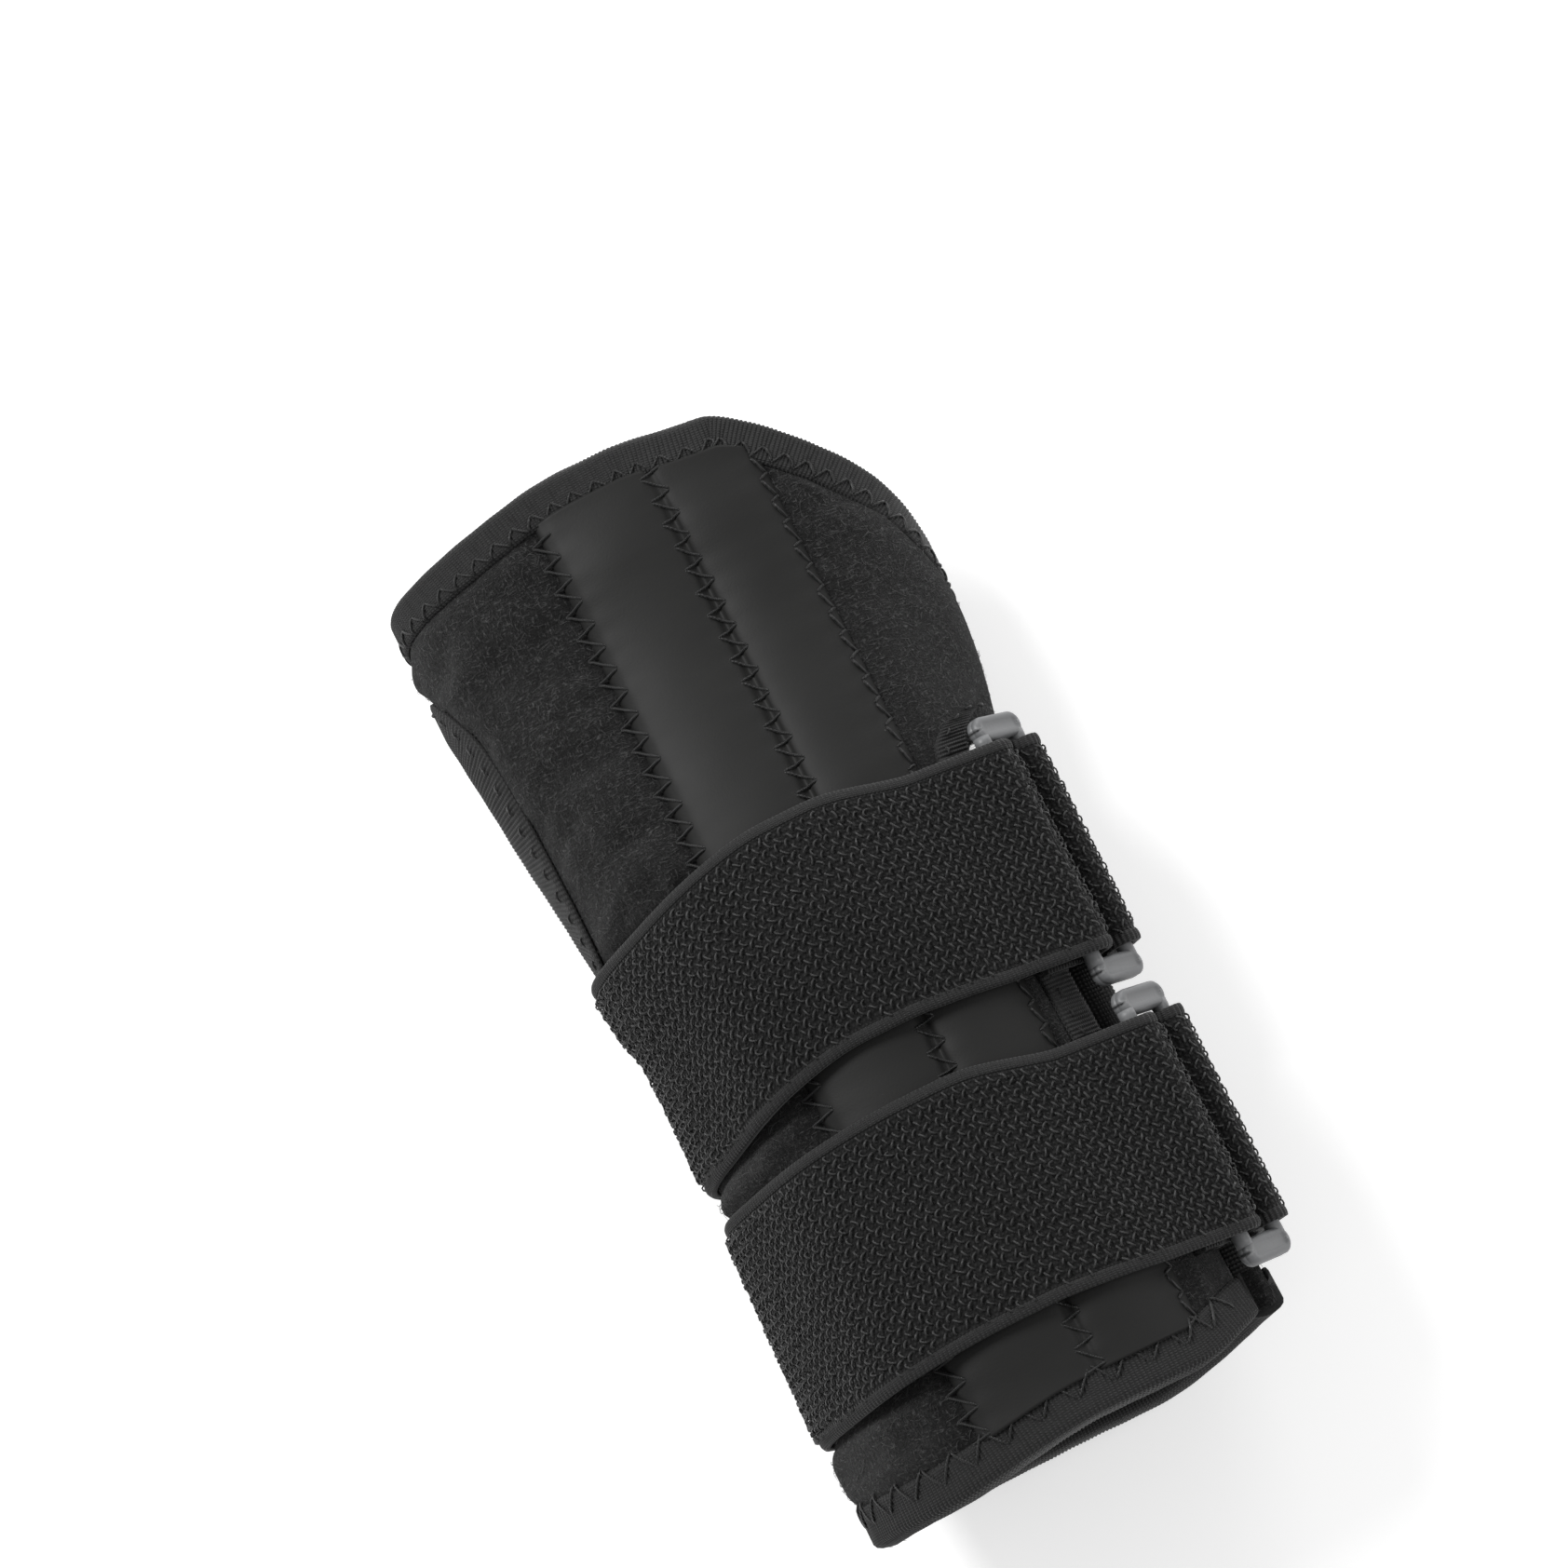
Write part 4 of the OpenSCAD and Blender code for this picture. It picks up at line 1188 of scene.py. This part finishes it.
def add_ring(name, ys, out):
    inner, _ = ring_bars(ys, out)
    points, quads, start = [], [], 0
    for side in (-1, 1):
        rings = ring_end_plate(side)
        faces = tube_quads(rings.shape[0], rings.shape[1])
        faces = faces if side < 0 else faces[:, ::-1]
        points.append(rings.reshape(-1, 3))
        quads.append(faces + start)
        start += rings.shape[0] * rings.shape[1]
    reach_y = (RING_LENGTH - 2 * RING_END) / 2 + 1.2
    turn = np.radians(np.arange(28) * 360 / 28)
    for x in (0.0, RING_PITCH):
        along = np.linspace(-reach_y, reach_y, 40)
        blend_in = np.exp(-(reach_y - 1.2 - np.abs(along)) / 0.5).clip(0, 1)
        radius = RING_BAR * (1 - 0.02 + 0.06 * blend_in)
        rings = np.stack([x + radius[:, None] * np.cos(turn), along[:, None] + 0 * turn,
                          radius[:, None] * np.sin(turn)], -1)
        v = rings.reshape(-1, 3)
        points.append(v)
        faces = tube_quads(40, 28)
        if signed_volume(v - v.mean(0), faces) < 0:
            faces = faces[:, ::-1]
        quads.append(faces + start)
        start += 40 * 28
    points = np.concatenate(points)
    c, s = cosd(RING_SLOPE), sind(RING_SLOPE)
    x = points[:, 0] * c - points[:, 2] * s + inner[0]
    z = points[:, 0] * s + points[:, 2] * c + inner[1]
    placed = np.stack([x, points[:, 1] + ys[0], z], -1)
    add_mesh(name + "_ring_moulding", placed, np.concatenate(quads), PLASTIC, body=name + "_ring",
             nodes=(name + "_ring",), slot="ring_plastic")


for strap_name, (strap_ys, strap_out) in STRAPS.items():
    add_ring(strap_name, strap_ys, strap_out)


# ---- Straps
def across(middle, width, share):
    return middle + (share - 0.5) * width


def offset_line(line, h):
    """The line moved sideways in the XZ plane, to the left of the way it runs."""
    way = np.gradient(line, axis=0)
    size = np.hypot(way[:, 0], way[:, 2])[:, None]
    return line + h * np.stack([-way[:, 2], 0 * way[:, 0], way[:, 0]], -1) / size


def relaxed(line, times):
    for _ in range(times):
        line[1:-1] = (line[:-2] + 2 * line[1:-1] + line[2:]) / 4
    return line


def strap_line(ys, out, share, count):
    """The strap's middle line at one place across its width, from its sewn base to the dorsal side."""
    h = STRAP_THICKNESS / 2
    y = across(ys[0], RING_STRAP_WIDTH, share)
    bar, _ = ring_bars(ys, out)
    fold = RING_BAR + 1.0 + h
    base = [wrap_point(y, a, 1.5 + h, False) for a in (35, 33.5, 32, 30.5, 29)]
    bend = [np.array([bar[0] + fold * cosd(a), y, bar[1] + fold * sind(a)]) for a in range(-145, 56, 10)]
    a = np.arange(48, 231, 2.0)
    width = mix(RING_STRAP_WIDTH, STRAP_WIDTH, smooth((a - 44) / 30))
    place = across(strap_centre_y(ys, a), width, share)
    over_tape = 0.35 + 1.1 * smooth((place - 97) / 7)
    lift = mix(3.6, over_tape, smooth((a - 122) / 34))
    run = wrap_point(place, a, lift + h, False)
    run[:, 2] = np.maximum(h, run[:, 2])
    last = across(ys[3], STRAP_WIDTH, share)
    end = [np.array([x, last, h]) for x in (-23.0, STRAP_END_X - 4.0)]
    line = resample(np.vstack([base, bend, run, end]), count)
    return relaxed(line, 6)


STRAP_END_X = -18.0
STRAP_COUNT, STRAP_ACROSS, WEBBING_THICKNESS = 520, 64, 1.7
LOOP_SPACING, LOOP_MARGIN, LOOP_THICK = (2.2, 1.2), 2.3, 0.2
SELVAGE_WIDTH = 2.0


def loop_pile(grid, out, seed, height=0.62, shaggy=None):
    """Loops of yarn standing on a grid's surface in staggered rows. grid is (along, across, 3)."""
    rng = np.random.default_rng(seed)
    long = path_length(grid[:, grid.shape[1] // 2])
    wide = path_length(grid[grid.shape[0] // 2])
    u = np.arange(0.8, long - 0.6, LOOP_SPACING[0] / 2)
    v = np.arange(LOOP_MARGIN, wide - LOOP_MARGIN, LOOP_SPACING[1] * 2)
    uu, vv = np.meshgrid(u, v, indexing="ij")
    vv = vv + (np.arange(len(u)) % 2)[:, None] * LOOP_SPACING[1]
    uu = uu + rng.normal(0, 0.07, uu.shape)
    vv = vv + rng.normal(0, 0.07, vv.shape)
    keep = (vv > LOOP_MARGIN) & (vv < wide - LOOP_MARGIN)
    slant = np.broadcast_to(np.where(np.arange(len(u)) % 2 == 0, 0.55, -0.55)[:, None], uu.shape)
    uu, vv, slant = uu[keep], vv[keep], slant[keep]
    turn = slant + rng.normal(0, 0.14, len(uu))
    high = height * rng.uniform(0.8, 1.2, len(uu))
    if shaggy is not None:
        high = high * shaggy(uu / long)
    t = np.linspace(-0.15, math.pi + 0.15, 6)
    radius = 0.72 * rng.uniform(0.85, 1.15, len(uu))
    side = radius[:, None] * np.cos(t)
    du = side * np.sin(turn)[:, None] + (0.5 * np.sin(t)) * rng.normal(0.5, 0.35, len(uu))[:, None]
    dv = side * np.cos(turn)[:, None]
    i = (uu[:, None] + du) / long * (grid.shape[0] - 1)
    j = (vv[:, None] + dv) / wide * (grid.shape[1] - 1)
    base, normal = sample(grid, i, j), sample(out, i, j)
    lean = 0.25 + high[:, None] * np.sin(t)
    paths = base + normal * (lean - 0.25)[..., None]
    return tubes(paths, normal, LOOP_THICK, 4)


def selvage(name, grid, out, column, **words):
    """A ribbed band along one edge of a strap's face."""
    long = path_length(grid[:, column])
    count = int(long / RIB_PITCH * 4)
    i = np.linspace(0, grid.shape[0] - 1, count)[:, None]
    cross = np.linspace(0, 1, 7)[None, :]
    step = SELVAGE_WIDTH / path_length(grid[0]) * (grid.shape[1] - 1)
    j = column + np.where(column == 0, 1, -1) * cross * step
    base, normal = sample(grid, i + 0 * j, j + 0 * i), sample(out, i + 0 * j, j + 0 * i)
    gone = i / (grid.shape[0] - 1) * long
    rib = 0.12 * np.cos(2 * math.pi * gone / RIB_PITCH)
    rise = (0.26 + rib) * np.sin(math.pi * np.clip(cross, 0.04, 0.96)) ** 0.35
    top = base + normal * rise[..., None]
    low = base - normal * 0.15
    slab(name, top, low, SELVAGE, spread(gone, cross * SELVAGE_WIDTH), slot="strap_webbing", **words)


def add_pile(name, face, out, seed, height=0.62, shaggy=None, **words):
    """The two ribbed selvages and the loop pile on a strap's outer face."""
    selvage(name + "_selvage_a", face, out, 0, **words)
    selvage(name + "_selvage_b", face, out, face.shape[1] - 1, **words)
    points, quads = loop_pile(face, out, seed, height, shaggy)
    add_mesh(name + "_loops", points, quads, LOOPS, slot="strap_webbing", **words)


def strap_faces(lines, thickness):
    """A strap's outer and inner face, its outward ways, flat places u and v, length and width."""
    outer, inner = (np.stack([offset_line(line, h) for line in lines], 1) for h in (-thickness / 2, thickness / 2))
    out = grid_normals(outer)
    if np.einsum("ijk,ijk->", out, outer - inner) < 0:
        out = -out
    long, wide = path_length(outer[:, 0]), path_length(outer[0])
    u = np.linspace(0, long, outer.shape[0])[:, None]
    v = np.linspace(0, wide, outer.shape[1])[None, :]
    return outer, inner, out, u, v, long, wide


def add_webbing(name, middle_lines, node, seed, pile, **words):
    """A strap's ground cloth with its selvages and pile. pile holds the pile's own settings."""
    outer, inner, out, u, v, long, wide = strap_faces(middle_lines, WEBBING_THICKNESS)
    edge = np.minimum(v, wide - v) + 0 * u
    quilt = 0.10 * np.sin(2 * math.pi * u / 1.4) * np.sin(2 * math.pi * v / 2.3) * (edge > 1.8)
    roll = -0.35 * np.exp(-edge / 0.5)
    sway = 0.12 * waves(outer, 26.0, seed)
    face = outer + out * (quilt + roll - 0.15)[..., None] + out * sway[..., None]
    back = inner - out * roll[..., None] * 0.6
    piece = slab(name, face, back, GROUND, spread(u, v), nodes=(node,), slot="strap_webbing", **words)
    add_pile(name, face, out, seed, **pile, **words)
    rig.sheet(piece, flat=(wide * MM, long * MM), held="stretched", rests_on=["padded_shell"])


def side_shag(share):
    """The pile stands up more where the strap bends round the thumb side of the wrist."""
    return 1 + 0.55 * smooth((share - 0.60) / 0.08) * (1 - smooth((share - 0.86) / 0.08))


def add_straps():
    shares = np.linspace(0, 1, STRAP_ACROSS)
    for seed, (name, (ys, out)) in enumerate(STRAPS.items()):
        lines = [strap_line(ys, out, s, STRAP_COUNT) for s in shares]
        add_webbing(name + "_webbing", lines, name + "_strap", 30 + seed, {"shaggy": side_shag})


add_straps()


# ---- Loose strap ends with their hook patches
END_LENGTH = 33.0


def end_lines(ys):
    h = STRAP_THICKNESS / 2
    x = np.linspace(STRAP_END_X - 4.0, STRAP_END_X + END_LENGTH, 90)
    shares = np.linspace(0, 1, STRAP_ACROSS)
    tip = unit((x - STRAP_END_X - END_LENGTH + 9) / 9)
    narrow = 1 - 0.16 * (1 - np.sqrt(np.clip(1 - tip ** 2, 0, 1)))
    return [np.stack([x, ys[3] + (s - 0.5) * STRAP_WIDTH * narrow, np.full(len(x), h)], -1) for s in shares]


def add_strap_end(name, ys, seed):
    body = name + "_strap_end"
    lines = end_lines(ys)
    fold = [(np.array([STRAP_END_X + x, ys[3], STRAP_THICKNESS / 2]) + SHIFT) * MM for x in (-2.0, 2.0)]
    add_webbing(name + "_end_webbing", lines, body, seed, {"height": 0.3}, body=body, bend=fold)
    rng = np.random.default_rng(seed)
    low_x, high_x = STRAP_END_X + 4.0, STRAP_END_X + END_LENGTH - 1.0
    low_y, high_y = ys[3] - STRAP_WIDTH / 2 + 1.5, ys[3] + STRAP_WIDTH / 2 - 1.5
    x, y = np.meshgrid(np.linspace(low_x, high_x, 60), np.linspace(low_y, high_y, 70), indexing="ij")
    edge = np.minimum.reduce([x - low_x, high_x - x, y - low_y, high_y - y])
    top = 2.45 - 0.25 * np.exp(-edge / 0.3)
    sheet_top = np.stack([x, y, top], -1)
    sheet_low = np.stack([x, y, np.full_like(x, 2.02)], -1)
    slab(name + "_hook_sheet", sheet_top, sheet_low, HOOKS, nodes=(name + "_hook_patch",), slot="hook_patch",
         body=body)
    hooks = np.meshgrid(np.arange(low_x + 1.5, high_x - 1, 1.45), np.arange(low_y + 1.5, high_y - 1, 1.2),
                        indexing="ij")
    hx, hy = (part.ravel() for part in hooks)
    t = np.linspace(0, 1, 6)
    way = np.where(rng.random(len(hx)) < 0.5, 1, -1)[:, None]
    bend = way * 0.42 * np.clip(t - 0.35, 0, 1) / 0.65
    rise = 0.62 * np.sin(t * 2.3)
    paths = np.stack([hx[:, None] + bend, hy[:, None] + 0 * t, 2.4 + rise + 0 * way], -1)
    ups = np.tile(np.array([0.0, 1.0, 0.0]), (len(hx), 6, 1))
    add_tubes(name + "_hooks", paths, ups, 0.13, HOOKS, 4, slot="hook_patch", body=body)


for seed, (strap_name, (strap_ys, strap_out)) in enumerate(STRAPS.items()):
    add_strap_end(strap_name, strap_ys, 50 + seed)


# ---- Ring tabs: a strap folded round the ring's outer bar and sewn to the dorsal flap
TAB_START = 18.0
TAB_PLY = 1.45


def tab_lines(ys, out):
    _, bar = ring_bars(ys, out)
    h = 1.55
    lines = []
    for share in np.linspace(0, 1, STRAP_ACROSS):
        y = across(ys[0], RING_STRAP_WIDTH, share)
        middle = [np.array([x, y, h]) for x in (TAB_START, TAB_START + 4)]
        for a in range(314, 351, 4):
            p = wrap_point(y, float(a), mix(0.15, TAPE_OUT + 0.2, smooth((a - 316) / 18)) + h)
            middle.append(np.array([p[0], y, max(h, p[2])]))
        middle.append(np.array([bar[0] - 0.4, y, bar[1] - 2.6]))
        middle = relaxed(resample(middle, 120), 8)
        half = TAB_PLY / 2 + 0.02
        far, near = offset_line(middle, -half), offset_line(middle, half)
        loop = 1.8 + TAB_PLY / 2
        bend = [np.array([bar[0] + loop * cosd(a), y, bar[1] + loop * sind(a)]) for a in range(-35, 216, 8)]
        stop = len(far) - 12
        line = np.vstack([far[:stop], bend, near[:stop][::-1]])
        lines.append(relaxed(resample(line, 300), 3))
    return lines


def add_tabs():
    for seed, (name, (ys, out)) in enumerate(STRAPS.items()):
        outer, inner, way, u, v, long, wide = strap_faces(tab_lines(ys, out), TAB_PLY)
        piece = slab(name + "_tab_webbing", outer, inner, GROUND, spread(u, v), nodes=(name + "_ring_tab",),
                     slot="strap_webbing")
        seen = outer.shape[0] // 2 + 22
        add_pile(name + "_tab", outer[:seen], way[:seen], 70 + seed, 0.45)
        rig.sheet(piece, flat=(wide * MM, long * MM), held="folded", rests_on=[name + "_ring", "padded_shell"])


add_tabs()


def add_tab_stitching():
    """Two dense bar tacks at each tab's sewn end."""
    paths = []
    for ys, _ in STRAPS.values():
        for side in (-1, 1):
            y = ys[0] + side * 11 + np.arange(-6, 6.01, 0.5)
            t = np.linspace(0, 1, 6)
            x = TAB_START + 1 + 1.8 * t[None, :] + 0 * y[:, None]
            z = 3.05 + 0.13 * np.sin(math.pi * t)[None, :] + 0 * y[:, None]
            paths.append(np.stack([x, y[:, None] + 0.25 * t[None, :], z], -1))
    paths = np.concatenate(paths)
    ups = np.tile(np.array([0.0, 0.0, 1.0]), (*paths.shape[:2], 1))
    add_tubes("tab_tacks", paths, ups, 0.17, THREAD, nodes=("tab_stitching",), slot="thread")


add_tab_stitching()


# ---- The padded tongue behind the opening
def add_tongue():
    share, row = np.meshgrid(np.linspace(0, 1, 70), np.linspace(0, 1, 150), indexing="ij")
    y = mix(14.0, 136.0, row)
    angle = mix(palmar_edge(y) + 18, dorsal_edge(y) - 360 - 26, 1 - share)
    edge = np.minimum.reduce([share * 44, (1 - share) * 44, row * 122, (1 - row) * 122])
    crown = 1 - np.exp(-edge / 1.6)
    base = wrap_point(y, angle, -5.9, False)
    quilt = 0.12 * np.sin(y * 2 * math.pi / 16) + 0.15 * waves(base, 14.0, 41)
    outer = wrap_point(y, angle, -6.5 + 0.65 * crown + quilt * crown * 0.5, False)
    inner = wrap_point(y, angle, -6.6 - 0.7 * crown + quilt * crown * 0.5, False)
    flat = np.stack([share * 44, y], -1)
    piece = slab("tongue_pad", outer, inner, TONGUE, flat, nodes=("opening_tongue",), slot="lining")
    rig.padded(piece, fill=0.5)


add_tongue()

# ---- CAD nodes that keep their shape get their own finish
KEPT = {"foam_core": FOAM, "palm_stay": ALUMINIUM, "palm_side_stay": SPRING, "dorsal_stays": SPRING}
for kept_name, kept_material in KEPT.items():
    for kept_slot in frame["nodes"][kept_name].material_slots:
        kept_slot.material = kept_material


# ---- Floor and lights
def add_floor():
    s = Shader("floor")
    colour = s.ramp(s.noise(s.place(), 6.0, 2.0), [(0.3, 0.86), (0.7, 0.88)])
    material = s.finish(colour, 0.7, specular_ior_level=0.2, emission_color=(1, 1, 1, 1), emission_strength=0.42)
    bpy.ops.mesh.primitive_plane_add(size=6, location=(0, 0, -0.0006))
    floor = bpy.context.object
    floor.name = "floor"
    floor.data.materials.append(material)
    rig.stage(floor)


LIGHT_AIM = Vector((0, 0, 0.03))


def add_light(name, place, size, power):
    data = bpy.data.lights.new(name, "AREA")
    data.shape = "DISK"
    data.size = size
    data.energy = power
    light = bpy.data.objects.new(name, data)
    light.location = place
    light.rotation_euler = (Vector(place) - LIGHT_AIM).to_track_quat("Z", "Y").to_euler()
    bpy.context.scene.collection.objects.link(light)


def add_studio():
    add_floor()
    add_light("key", (-0.55, 0.75, 0.95), 0.6, 13)
    add_light("fill", (0.9, -0.3, 0.8), 1.0, 4)
    add_light("rim", (0.5, 0.9, 0.35), 0.5, 3)
    world = bpy.data.worlds.new("studio")
    world.use_nodes = True
    world.node_tree.nodes["Background"].inputs[0].default_value = (1, 1, 1, 1)
    world.node_tree.nodes["Background"].inputs[1].default_value = 0.42
    bpy.context.scene.world = world
    bpy.context.scene.view_settings.view_transform = "Standard"


add_studio()

with open("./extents.json", "w") as size_file:
    json.dump({"cad": [list(p) for p in cad_bounds], "visual": [list(p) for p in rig.bounds()]}, size_file)
